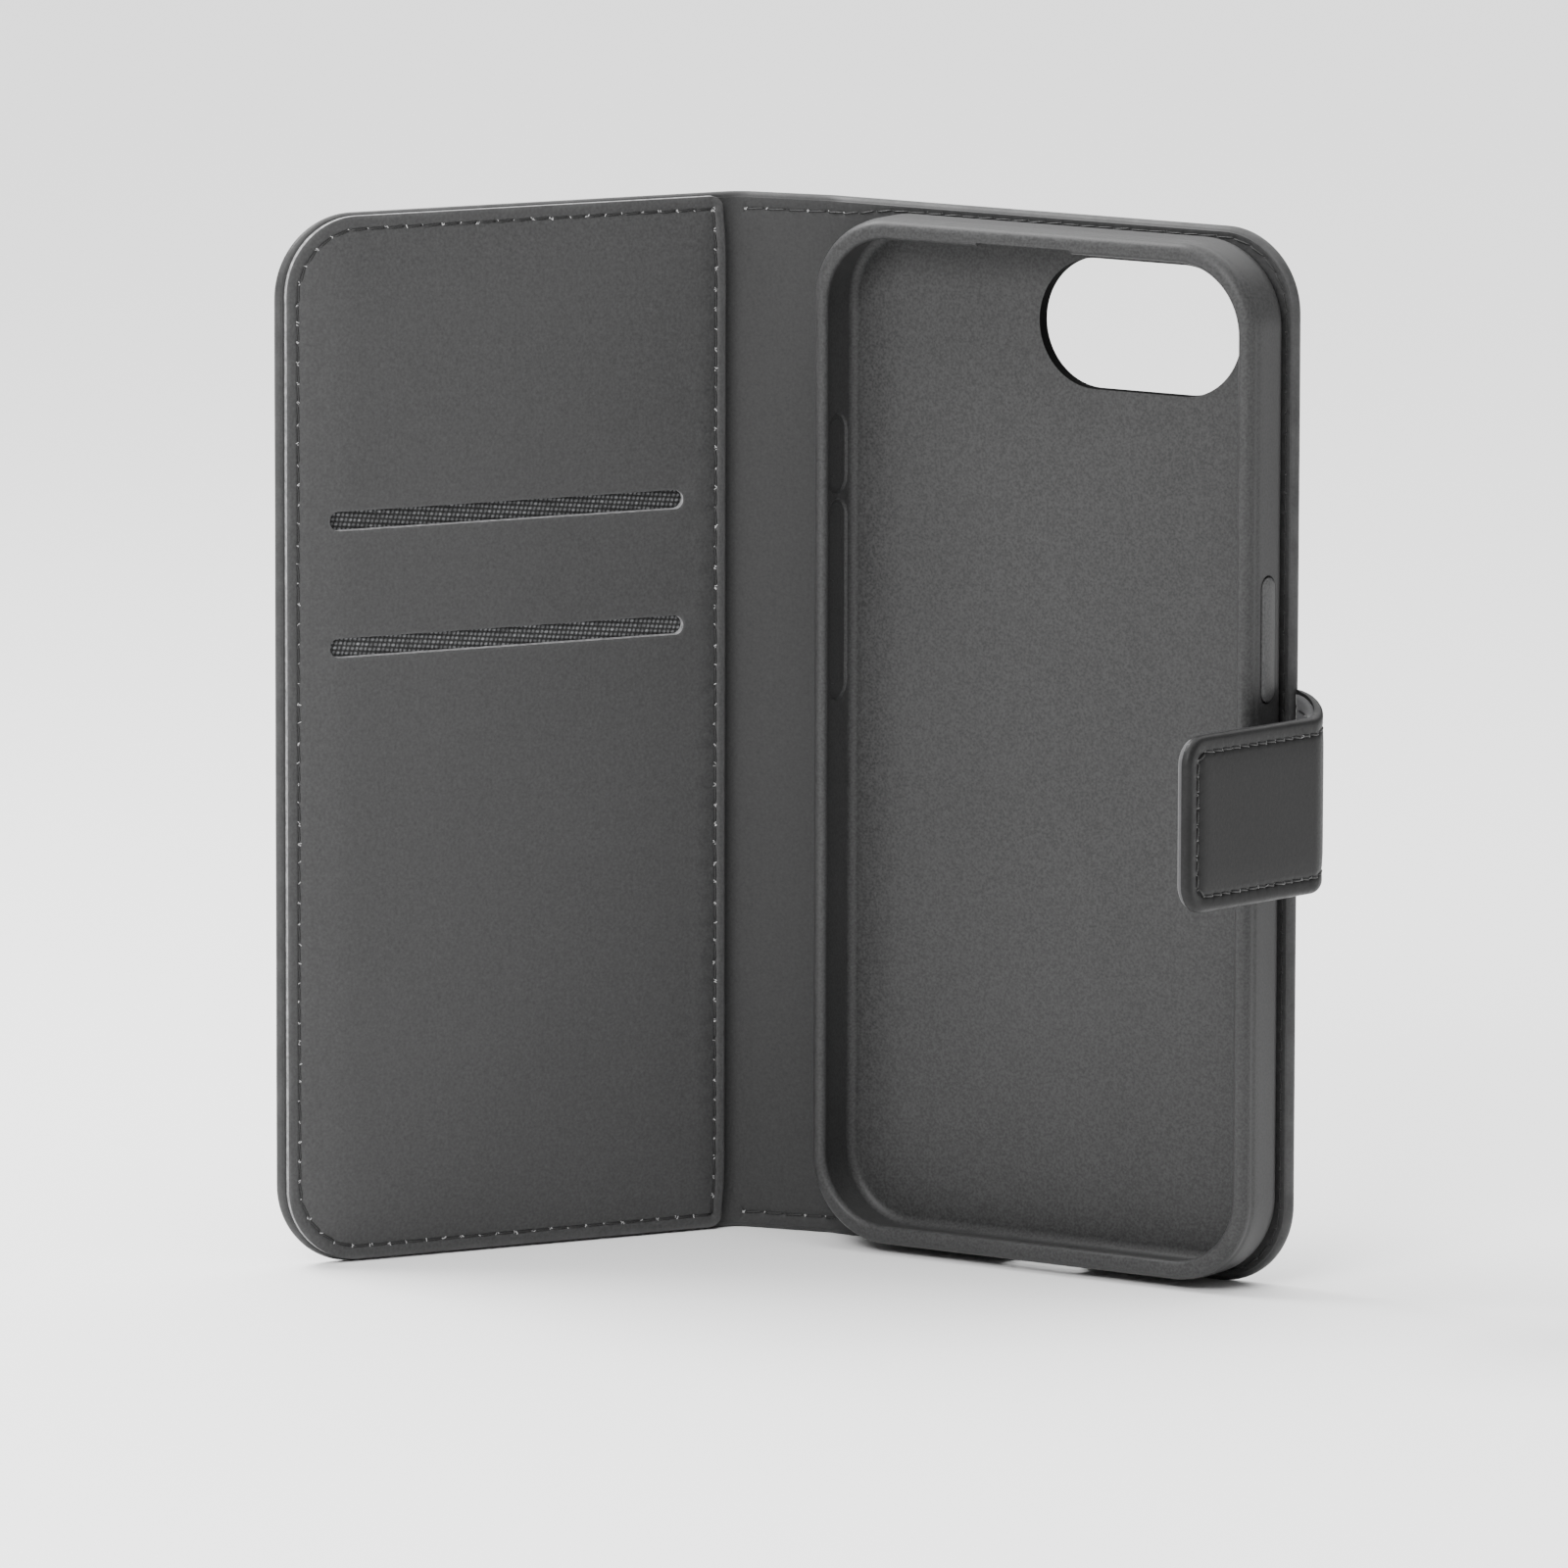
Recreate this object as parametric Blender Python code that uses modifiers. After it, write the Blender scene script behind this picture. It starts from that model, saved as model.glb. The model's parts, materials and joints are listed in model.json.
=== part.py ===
"""Phone wallet case: folding leather cover, moulded phone shell, card panel and magnetic strap.

Metres, +Z up. The case stands open on its bottom edges. The back cover lies in an XZ plane with
its outside facing +Y, and X runs from the spine fold to the strap. Folds close about +Z.
Sizes are in millimetres and are turned into metres where a mesh or curve is made.
"""
import bmesh
import bpy
import math

MM = 0.001

# Overall sizes.
HEIGHT = 153.5
BACK_WIDTH = 78.0
FRONT_WIDTH = 74.8
SPINE_WIDTH = 16.5
CORNER_R = 12.0

# The spine fold's X and the back cover's inner face Y, so that the open case is centred.
FOLD_X = -15.9
INNER_Y = 32.24

# Rest pose: how far each fold is turned from lying flat, in degrees.
SPINE_REST = 12.0
COVER_REST = 47.4

# Layers: (outer depth, inner depth) below each cover's outer surface.
BACK_THICK = 2.2
BACK_SKIN = (0.0, 0.7)
BACK_BOARD = (0.8, 1.5)
BACK_LINING = (1.6, 2.2)
SPINE_SKIN = (0.0, 0.5)
SPINE_BOARD = (0.6, 1.1)
SPINE_LINING = (1.2, 1.7)
FRONT_SKIN = (0.0, 0.5)
FRONT_BOARD = (0.6, 1.2)
FRONT_LINING = (1.3, 1.6)
UPPER_POCKET = (1.9, 2.1)
LOWER_POCKET = (2.2, 2.4)
CARD_PANEL = (2.5, 3.4)
FOLD_GAP = 0.1
BOARD_INSET = 1.0
SKIN_EASE = 0.22
PANEL_EASE = 0.35

# Moulded shell for a 146.7 x 71.5 x 7.8 mm phone.
SHELL_X = 2.4
SHELL_W = 74.5
SHELL_H = 149.7
SHELL_D = 10.0
SHELL_BACK = -0.4
SHELL_R = 12.5
SHELL_FLOOR = 1.0
SHELL_WALL = 1.45
LIP_INSET = 2.45
PAD_LAYER = (-0.1, -0.3)

# Camera window: its spine-side end, size and top, and how much wider the cover's hole is.
CAMERA_X = 35.85
CAMERA_W = 34.0
CAMERA_H = 19.0
CAMERA_TOP = 147.65
CAMERA_MARGIN = 2.0

# Earpiece notch in the top lip, and charging port in the bottom wall.
NOTCH_X = (30.2, 46.5)
NOTCH_DEEP = 0.6
PORT_W = 13.0
PORT_H = 4.2
PORT_Y = -5.3

# Buttons: name, centre height, length, side (-1 spine side, +1 strap side).
BUTTONS = (
    ("action_button_pad", 117.4, 8.0, -1),
    ("volume_up_pad", 103.6, 11.0, -1),
    ("volume_down_pad", 88.4, 11.0, -1),
    ("power_button_pad", 95.2, 18.0, 1),
)
BUTTON_H = 3.2
BUTTON_Y = -5.3
BUTTON_PROUD = 0.4
BUTTON_THICK = 1.4
BUTTON_CLEAR = 0.15
RECESSES = (("action_recess", 117.4, 11.6, -1), ("volume_recess", 96.0, 29.8, -1),
            ("power_recess", 95.2, 22.0, 1))
RECESS_H = 6.0
RECESS_DEEP = 0.25

# Card panel slots: centre heights, and their shared ends from the cover fold.
SLOT_Z = (109.0, 90.5)
SLOT_ENDS = (10.5, 67.2)
SLOT_H = 2.8

# Magnets: width and height, and the cover magnet's middle from the cover fold.
MAGNET_W = 5.2
MAGNET_H = 14.2
MAGNET_U = 66.4
MAGNET_Z = 72.8

# Seams: distance in from the edge, and thread and groove radii.
THREAD_R = 0.2
GROOVE_R = 0.33
COVER_SEAM = 1.3
PANEL_SEAM = 2.6
PANEL_FOLD_SEAM = 5.3

# Strap: half thickness, width, and its middle height at the root, after the bend and at the tip.
STRAP_HALF = 1.1
STRAP_W = 25.0
STRAP_Z = (74.6, 71.85, 73.05)
# Seen from above it leaves the cover's edge, turns towards the phone's side and runs on straight.
STRAP_Y = 0.5
STRAP_OUT = 0.3
STRAP_R = 5.7
STRAP_TURN = math.radians(92.0)
STRAP_STRAIGHT = 32.0
TIP_BEND = 19.5
STRAP_CORNER = 3.6
STRAP_SEAM = 2.3
LINING_INSET = 0.5
BEND_GAP = 0.12

CHARCOAL = (0.075, 0.075, 0.076)
SOFT_GREY = (0.085, 0.085, 0.087)
SHELL_GREY = (0.095, 0.095, 0.097)
CLOTH_BLACK = (0.045, 0.044, 0.046)
THREAD_GREY = (0.11, 0.11, 0.112)
THREAD_BLACK = (0.03, 0.03, 0.03)
LINING_GREY = (0.16, 0.16, 0.165)
BOARD_GREY = (0.25, 0.24, 0.22)
PAD_GREY = (0.30, 0.30, 0.30)
STEEL = (0.55, 0.55, 0.56)


def clear_scene():
    for obj in list(bpy.data.objects):
        bpy.data.objects.remove(obj, do_unlink=True)


clear_scene()
PARTS = bpy.data.collections.new("phone_wallet_case")
CUTTERS = bpy.data.collections.new("cutters")
bpy.context.scene.collection.children.link(PARTS)
bpy.context.scene.collection.children.link(CUTTERS)


def material(name, colour, rough, metal=0.0):
    mat = bpy.data.materials.new(name)
    mat.use_nodes = True
    bsdf = mat.node_tree.nodes["Principled BSDF"]
    bsdf.inputs["Base Color"].default_value = (*colour, 1.0)
    bsdf.inputs["Roughness"].default_value = rough
    bsdf.inputs["Metallic"].default_value = metal
    return mat


def pivot_empty(name, location, angle=0.0, parent=None):
    empty = bpy.data.objects.new(name, None)
    PARTS.objects.link(empty)
    empty.empty_display_size = 10 * MM
    empty.location = [c * MM for c in location]
    empty.rotation_euler.z = math.radians(angle)
    empty.parent = parent
    return empty


def place(obj, parent, location, turn, mat):
    """Links a part, or a cutter if it has no material, under its parent."""
    is_part = mat is not None
    (PARTS if is_part else CUTTERS).objects.link(obj)
    obj.parent = parent
    obj.location = [c * MM for c in location]
    obj.rotation_euler.z = math.radians(turn)
    if is_part:
        obj.data.materials.append(mat)
    else:
        obj.hide_render = True
        obj.display_type = "WIRE"
    return obj


# Outlines are lists of (x, z) points.
def rounded(x0, x1, z0, z1, r_low_x, r_high_x, steps=9):
    """Rectangle whose two corners at each X end share a radius."""
    corners = ((x1, z0, r_high_x, -90, -1, 1), (x1, z1, r_high_x, 0, -1, -1),
               (x0, z1, r_low_x, 90, 1, -1), (x0, z0, r_low_x, 180, 1, 1))
    points = []
    for x, z, r, start, toward_x, toward_z in corners:
        for i in range(steps + 1 if r > 0 else 1):
            a = math.radians(start + 90 * i / steps)
            reach = (toward_x + math.cos(a), toward_z + math.sin(a)) if r > 0 else (0, 0)
            points.append((x + r * reach[0], z + r * reach[1]))
    return points


def stadium(length_x, length_z, x=0.0, z=0.0):
    r = min(length_x, length_z) / 2 - 0.001
    return rounded(x - length_x / 2, x + length_x / 2, z - length_z / 2, z + length_z / 2, r, r)


def slab(name, outline, y_high, y_low, parent, mat=None, ease=0.0, location=(0, 0, 0), turn=0.0):
    """Flat sheet of a given outline between two Y values, with its face edges eased."""
    bm = bmesh.new()
    face = bm.faces.new([bm.verts.new((x * MM, y_high * MM, z * MM)) for x, z in outline])
    face.normal_update()
    if face.normal.y < 0:
        face.normal_flip()
    mesh = bpy.data.meshes.new(name)
    bm.to_mesh(mesh)
    bm.free()
    obj = place(bpy.data.objects.new(name, mesh), parent, location, turn, mat)
    solid = obj.modifiers.new("thickness", "SOLIDIFY")
    solid.thickness = (y_high - y_low) * MM
    solid.offset = -1
    if ease > 0:
        bevel = obj.modifiers.new("eased edges", "BEVEL")
        bevel.width = ease * MM
        bevel.segments = 2
        bevel.limit_method = "ANGLE"
        bevel.angle_limit = math.radians(60)
    return obj


def subtract(obj, cutter):
    mod = obj.modifiers.new(cutter.name, "BOOLEAN")
    mod.operation = "DIFFERENCE"
    mod.solver = "EXACT"
    mod.object = cutter


def tube(name, points, radius, parent, mat=None):
    """Round closed tube along a line of (x, y, z) points, made as a bevelled curve."""
    curve = bpy.data.curves.new(name, "CURVE")
    curve.dimensions = "3D"
    curve.bevel_depth = radius * MM
    curve.bevel_resolution = 1
    curve.use_fill_caps = True
    line = curve.splines.new("POLY")
    line.points.add(len(points) - 1)
    for point, co in zip(line.points, points):
        point.co = (*[c * MM for c in co], 1)
    guide = bpy.data.objects.new(name + "_line", curve)
    bpy.context.scene.collection.objects.link(guide)
    evaluated = guide.evaluated_get(bpy.context.evaluated_depsgraph_get())
    mesh = bpy.data.meshes.new_from_object(evaluated)
    bpy.data.objects.remove(guide, do_unlink=True)
    mesh.name = name
    bm = bmesh.new()
    bm.from_mesh(mesh)
    bmesh.ops.remove_doubles(bm, verts=bm.verts, dist=1e-6)
    bmesh.ops.recalc_face_normals(bm, faces=bm.faces)
    bm.to_mesh(mesh)
    bm.free()
    return place(bpy.data.objects.new(name, mesh), parent, (0, 0, 0), 0, mat)


def loft(name, sections, parent, mat=None, origin=(0, 0, 0)):
    """Closed skin through sections with the same number of points, capped at both ends."""
    bm = bmesh.new()
    rows = []
    for section in sections:
        rows.append([bm.verts.new([(c - o) * MM for c, o in zip(point, origin)]) for point in section])
    count = len(rows[0])
    for low, high in zip(rows, rows[1:]):
        for i in range(count):
            j = (i + 1) % count
            bm.faces.new((low[i], low[j], high[j], high[i]))
    bm.faces.new(rows[0])
    bm.faces.new(rows[-1])
    bmesh.ops.recalc_face_normals(bm, faces=bm.faces)
    mesh = bpy.data.meshes.new(name)
    bm.to_mesh(mesh)
    bm.free()
    return place(bpy.data.objects.new(name, mesh), parent, (0, 0, 0), 0, mat)


def seam(name, line, y, parent, mat, sheet):
    """Thread along (x, z) points, half sunk in a groove that it cuts in the sheet."""
    points = [(x, y, z) for x, z in line]
    groove = tube(name + "_groove", stretched(points, 0.3), GROOVE_R, parent)
    subtract(sheet, groove)
    tube(name, points, THREAD_R, parent, mat)


def stretched(points, extra):
    """The same line, made longer by extra at each end."""
    def beyond(end, before):
        length = math.dist(end, before)
        return tuple(e + (e - b) * extra / length for e, b in zip(end, before))
    return [beyond(points[0], points[1]), *points[1:-1], beyond(points[-1], points[-2])]


def edge_line(x_start, x_edge, z0, z1, r, sign=1, steps=10):
    """Seam line along the top, round the free edge and back along the bottom."""
    arc = [math.pi / 2 * i / steps for i in range(steps + 1)]
    top = [(x_edge - r + r * math.sin(a), z1 - r + r * math.cos(a)) for a in arc]
    low = [(x, z0 + z1 - z) for x, z in reversed(top)]
    return [(sign * x, z) for x, z in ((x_start, z1), *top, *low, (x_start, z0))]


# Covers: each layer stops short of a fold by its own depth, so that the cover can fold square.
def layer(name, width, depths, inset, parent, mat, ease=0.0, sign=1, surface=0.0):
    start = depths[1] + FOLD_GAP + (BOARD_INSET / 2 if inset >= BOARD_INSET else 0.0)
    outline = rounded(start, width - inset, inset, HEIGHT - inset, 0, CORNER_R - inset)
    outline = [(sign * x, z) for x, z in outline]
    return slab(name, outline, surface - depths[0], surface - depths[1], parent, mat, ease)


def build_back_cover(root):
    skin = layer("back_cover_outer_skin", BACK_WIDTH, BACK_SKIN, 0, root,
                 material("back cover outer leather", CHARCOAL, 0.6), SKIN_EASE, 1, BACK_THICK)
    board = layer("back_cover_board", BACK_WIDTH, BACK_BOARD, BOARD_INSET, root,
                  material("back cover board", BOARD_GREY, 0.9), 0, 1, BACK_THICK)
    lining = layer("back_cover_lining", BACK_WIDTH, BACK_LINING, 0, root,
                   material("back cover lining leather", SOFT_GREY, 0.65), SKIN_EASE, 1, BACK_THICK)
    window = camera_cutter("cover_camera_hole", CAMERA_MARGIN, 3.0, -3.0, root)
    for sheet in (skin, board, lining):
        subtract(sheet, window)
    tongue_room = rounded(65.5, 90.0, 60.4, 89.6, 0, 0)
    subtract(board, slab("strap_tongue_room", tongue_room, 1.45, 0.3, root))
    line = edge_line(3.6, BACK_WIDTH - COVER_SEAM, COVER_SEAM, HEIGHT - COVER_SEAM,
                     CORNER_R - COVER_SEAM)
    thread = material("back cover thread", THREAD_GREY, 0.7)
    seam("back_cover_thread", line, 0.0, root, thread, lining)


def camera_cutter(name, margin, y_high, y_low, root):
    outline = stadium(CAMERA_W + 2 * margin, CAMERA_H + 2 * margin,
                      CAMERA_X + CAMERA_W / 2, CAMERA_TOP - CAMERA_H / 2)
    return slab(name, outline, y_high, y_low, root)


def build_adhesive_pad(root):
    margin = 3.6
    top = CAMERA_TOP - CAMERA_H - CAMERA_MARGIN - 1.0
    outline = rounded(SHELL_X + margin, SHELL_X + SHELL_W - margin, 2 * margin, top, 8, 8)
    slab("shell_adhesive_pad", outline, *PAD_LAYER, root, material("adhesive pad", PAD_GREY, 0.5))


def shell_section(inset, y):
    middle = HEIGHT / 2
    half = SHELL_H / 2 - inset
    r = SHELL_R - inset
    outline = rounded(SHELL_X + inset, SHELL_X + SHELL_W - inset, middle - half, middle + half, r, r, 12)
    return [(x, y, z) for x, z in outline]


def build_shell(root):
    """Tray with a rounded back edge, a soft rim and a small lip that holds the phone."""
    back = SHELL_BACK
    rim = SHELL_BACK - SHELL_D
    floor = back - SHELL_FLOOR
    profile = (
        (1.9, back), (1.1, back - 0.25), (0.5, back - 0.8), (0.12, back - 1.6), (0.0, back - 2.6),
        (0.0, rim + 2.0), (0.15, rim + 1.1), (0.55, rim + 0.45), (1.1, rim + 0.1), (1.6, rim),
        (2.1, rim + 0.12), (LIP_INSET - 0.05, rim + 0.4), (LIP_INSET, rim + 0.75),
        (LIP_INSET, rim + 1.0), (2.0, rim + 1.35), (SHELL_WALL, rim + 1.5),
        (SHELL_WALL, floor - 0.9), (SHELL_WALL + 0.25, floor - 0.3), (SHELL_WALL + 0.9, floor),
    )
    shell = loft("phone_shell", [shell_section(*p) for p in profile], root,
                 material("moulded shell", SHELL_GREY, 0.55))
    subtract(shell, camera_cutter("shell_camera_hole", 0.0, 1.0, -3.0, root))
    lip_top = HEIGHT / 2 + SHELL_H / 2 - LIP_INSET
    x0, x1 = NOTCH_X
    slope = NOTCH_DEEP / 2
    notch = [(x0 - slope, lip_top - 1), (x1 + slope, lip_top - 1),
             (x1 - slope, lip_top + NOTCH_DEEP), (x0 + slope, lip_top + NOTCH_DEEP)]
    subtract(shell, slab("earpiece_notch", notch, rim + 1.25, rim - 1, root))
    port = stadium(PORT_W, PORT_H, SHELL_X + SHELL_W / 2, PORT_Y)
    bottom = HEIGHT / 2 - SHELL_H / 2
    sections = [[(x, y, z) for x, y in port] for z in (bottom - 1, bottom + SHELL_WALL + 0.8)]
    subtract(shell, loft("charging_port_hole", sections, root))
    build_buttons(root, shell)


def build_buttons(root, shell):
    """Rubber pads in windows of the side walls, with a shallow recess behind them."""
    mat = material("button rubber", SHELL_GREY, 0.5)
    walls = {-1: SHELL_X, 1: SHELL_X + SHELL_W}
    for name, z, length, side in RECESSES:
        depth = SHELL_WALL - RECESS_DEEP
        subtract(shell, slab(name, stadium(RECESS_H, length), -depth, -depth - 1, root, None, 0,
                             (walls[side], BUTTON_Y, z), -90 * side))
    for name, z, length, side in BUTTONS:
        spot = (walls[side], BUTTON_Y, z)
        hole = stadium(BUTTON_H + 2 * BUTTON_CLEAR, length + 2 * BUTTON_CLEAR)
        subtract(shell, slab(name + "_window", hole, 1, -SHELL_WALL - 1, root, None, 0, spot, -90 * side))
        slab(name, stadium(BUTTON_H, length), BUTTON_PROUD, BUTTON_PROUD - BUTTON_THICK, root, mat,
             0.3, spot, -90 * side)


def build_spine(pivot):
    """The spine's sheets run from fold to fold, towards -X of their own pivot."""
    looks = (("spine_outer_skin", SPINE_SKIN, 0.0, material("spine outer leather", CHARCOAL, 0.6)),
             ("spine_board", SPINE_BOARD, 1.2, material("spine board", BOARD_GREY, 0.9)),
             ("spine_lining", SPINE_LINING, 0.0, material("spine lining leather", SOFT_GREY, 0.65)))
    for name, depths, inset, mat in looks:
        end = depths[1] + FOLD_GAP + inset / 3
        outline = rounded(end - SPINE_WIDTH, -end, inset, HEIGHT - inset, 0, 0)
        sheet = slab(name, outline, -depths[0], -depths[1], pivot, mat)
    thread = material("spine thread", THREAD_GREY, 0.7)
    ends = (-2.6, 2.6 - SPINE_WIDTH)
    for name, z in (("spine_upper_thread", HEIGHT - COVER_SEAM), ("spine_lower_thread", COVER_SEAM)):
        seam(name, [(x, z) for x in ends], -SPINE_LINING[1], pivot, thread, sheet)


def build_front_cover(pivot):
    """The front cover's sheets run towards -X of the cover fold."""
    width = FRONT_WIDTH
    layer("front_cover_outer_skin", width, FRONT_SKIN, 0, pivot,
          material("front cover outer leather", CHARCOAL, 0.6), SKIN_EASE - 0.05, -1)
    board = layer("front_cover_board", width, FRONT_BOARD, BOARD_INSET, pivot,
                  material("front cover board", BOARD_GREY, 0.9), 0, -1)
    magnet = rounded(-MAGNET_U - MAGNET_W / 2, -MAGNET_U + MAGNET_W / 2, MAGNET_Z - MAGNET_H / 2,
                     MAGNET_Z + MAGNET_H / 2, 0.6, 0.6)
    room = [(x + math.copysign(0.3, x + MAGNET_U), z + math.copysign(0.3, z - MAGNET_Z))
            for x, z in magnet]
    subtract(board, slab("cover_magnet_room", room, -0.3, -1.5, pivot))
    slab("front_cover_magnet", magnet, -FRONT_BOARD[0], -FRONT_BOARD[1], pivot,
         material("cover magnet steel", STEEL, 0.35, 1.0))
    layer("front_cover_lining", width, FRONT_LINING, 0.2, pivot,
          material("cash pocket lining", SOFT_GREY, 0.65), 0, -1)
    build_card_panel(pivot)


def build_card_panel(pivot):
    width = FRONT_WIDTH
    cloth = material("card pocket cloth", CLOTH_BLACK, 0.95)
    pockets = (("upper_card_pocket_fabric", UPPER_POCKET, SLOT_Z[0], 25.0),
               ("lower_card_pocket_fabric", LOWER_POCKET, SLOT_Z[1], 6.5))
    side = 3.5
    for name, depths, slot_z, bottom in pockets:
        outline = rounded(-SLOT_ENDS[1] - side, side - SLOT_ENDS[0], bottom, slot_z + 5, 0.6, 0.6)
        slab(name, outline, -depths[0], -depths[1], pivot, cloth)
    panel = layer("card_panel", width, CARD_PANEL, 0.6, pivot,
                  material("card panel leather", SOFT_GREY, 0.62), PANEL_EASE, -1)
    length = SLOT_ENDS[1] - SLOT_ENDS[0]
    middle = -(SLOT_ENDS[0] + SLOT_ENDS[1]) / 2
    for number, z in enumerate(SLOT_Z, 1):
        slot = stadium(length, SLOT_H, middle, z)
        subtract(panel, slab("card_slot_%d" % number, slot, -CARD_PANEL[0] + 0.2,
                             -CARD_PANEL[1] - 0.2, pivot))
    line = edge_line(PANEL_FOLD_SEAM + 1.3, width - PANEL_SEAM, PANEL_SEAM, HEIGHT - PANEL_SEAM,
                     CORNER_R - PANEL_SEAM, -1)
    thread = material("front cover thread", THREAD_GREY, 0.7)
    seam("front_cover_thread", line, -CARD_PANEL[1], pivot, thread, panel)
    fold_line = [(-PANEL_FOLD_SEAM, PANEL_SEAM + 0.8), (-PANEL_FOLD_SEAM, HEIGHT - PANEL_SEAM - 0.8)]
    seam("card_panel_edge_thread", fold_line, -CARD_PANEL[1], pivot, thread, panel)


# Strap: s runs along its middle line from the cover's edge to the tip.
BEND_START = STRAP_OUT
BEND_END = BEND_START + STRAP_TURN * STRAP_R
STRAP_LENGTH = BEND_END + STRAP_STRAIGHT
ROOT_BEND = (BEND_START + BEND_END) / 2


def strap_plan(s):
    """Point and outward direction of the strap's middle line, seen from above."""
    turned = min(max((s - BEND_START) / STRAP_R, 0.0), STRAP_TURN)
    out = (math.sin(turned), math.cos(turned))
    before = min(s, BEND_START)
    after = max(s - BEND_END, 0.0)
    x = BACK_WIDTH + before + STRAP_R * out[0] + after * out[1]
    y = STRAP_Y - STRAP_R + STRAP_R * out[1] - after * out[0]
    return (x, y), out


def strap_height(s):
    """The middle line dips round the bend and rises slightly to the tip."""
    root, low, tip = STRAP_Z
    t = min(max(s / BEND_END, 0.0), 1.0)
    after = max(s - BEND_END, 0.0) / STRAP_STRAIGHT
    return root + (low - root) * t * t * (3 - 2 * t) + (tip - low) * after


def strap_point(s, d, v):
    """Point d outside the middle line and v above the strap's middle height."""
    (x, y), (out_x, out_y) = strap_plan(s)
    return (x + out_x * d, y + out_y * d, strap_height(s) + v)


def half_width(s, inset):
    """Half the strap's height, less towards the tip's rounded corners."""
    left = max(STRAP_LENGTH - inset - s, 0)
    short = max(STRAP_CORNER - left, 0)
    return STRAP_W / 2 - inset - STRAP_CORNER + math.sqrt(STRAP_CORNER ** 2 - short ** 2)


def stations(start, end, step=0.55):
    """Places along the strap, with the bends' ends among them, closer at the tip."""
    marks = [start, *(s for s in (BEND_START, BEND_END) if start < s < end)]
    corner = end - STRAP_CORNER
    if end > STRAP_LENGTH - 1:
        marks.append(corner)
        tail = [corner + STRAP_CORNER * math.sin(math.pi / 16 * i) for i in range(1, 9)]
    else:
        tail = [end]
    found = []
    for a, b in zip(marks, marks[1:] + ([end] if len(tail) == 1 else [])):
        count = max(1, round((b - a) / step))
        found += [a + (b - a) * i / count for i in range(count)]
    return found + ([corner] if len(tail) > 1 else []) + tail


def strap_sheet(name, start, end, d0, d1, inset, parent, mat, origin):
    ease = 0.25
    sections = []
    for s in stations(start, end):
        h = half_width(s, inset)
        ring = ((d0, ease - h), (d0 + 0.7 * ease, -h), (d1 - 0.7 * ease, -h), (d1, ease - h),
                (d1, h - ease), (d1 - 0.7 * ease, h), (d0 + 0.7 * ease, h), (d0, h - ease))
        sections.append([strap_point(s, d, v) for d, v in ring])
    return loft(name, sections, parent, mat, origin)


def strap_block(name, start, end, half_thick, half_high, parent, mat, origin):
    ring = ((-half_thick, -half_high), (half_thick, -half_high), (half_thick, half_high),
            (-half_thick, half_high))
    sections = [[strap_point(s, d, v) for d, v in ring] for s in (start, end)]
    return loft(name, sections, parent, mat, origin)


def build_strap_anchor(root):
    """Thin tongue inside the cover, growing into the strap's full thickness outside it."""
    tongue = ((-11.5, 11.0), (-1.0, 12.0), (0.12, 12.2))
    sections = []
    for s, h in tongue:
        ring = ((0.3, -h), (0.8, -h), (0.8, h), (0.3, h))
        sections.append([strap_point(s, d, v) for d, v in ring])
    for s in stations(0.35, ROOT_BEND - BEND_GAP):
        grow = min(1.0, 0.55 + s / 2)
        h = STRAP_W / 2
        ring = ((-STRAP_HALF * grow, -h), (STRAP_HALF * grow, -h), (STRAP_HALF * grow, h),
                (-STRAP_HALF * grow, h))
        sections.append([strap_point(s, d, v) for d, v in ring])
    loft("strap_anchor", sections, root, material("strap anchor leather", CHARCOAL, 0.6))


def strap_seam(name, line, parent, mat, origin):
    points = [strap_point(s, STRAP_HALF + THREAD_R + 0.04, v) for s, v in line]
    local = [tuple(c - o for c, o in zip(p, origin)) for p in points]
    tube(name, local, THREAD_R, parent, mat)


def build_strap(root):
    root_bend = strap_point(ROOT_BEND, STRAP_HALF, 0)
    tip_bend = strap_point(TIP_BEND, -STRAP_HALF, 0)
    side = pivot_empty("strap_root_axis", root_bend, 0, root)
    flap = pivot_empty("strap_tip_axis", [b - a for a, b in zip(root_bend, tip_bend)], 0, side)
    leather = material("strap outer leather", CHARCOAL, 0.55)
    cloth = material("strap lining", LINING_GREY, 0.9)
    thread = material("strap thread", THREAD_BLACK, 0.6)
    start, end = ROOT_BEND + BEND_GAP, TIP_BEND - BEND_GAP
    strap_sheet("strap_side_outer_skin", start, end, 0.05, STRAP_HALF, 0, side, leather, root_bend)
    strap_sheet("strap_side_lining", start, end, -STRAP_HALF, -0.05, LINING_INSET, side, cloth, root_bend)
    high = STRAP_W / 2 - STRAP_SEAM
    inner = stations(start + 0.3, end - 0.3)
    for name, v in (("strap_side_upper_thread", high), ("strap_side_lower_thread", -high)):
        strap_seam(name, [(s, v) for s in inner], side, thread, root_bend)
    build_flap(flap, tip_bend, leather, cloth, thread)


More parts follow.
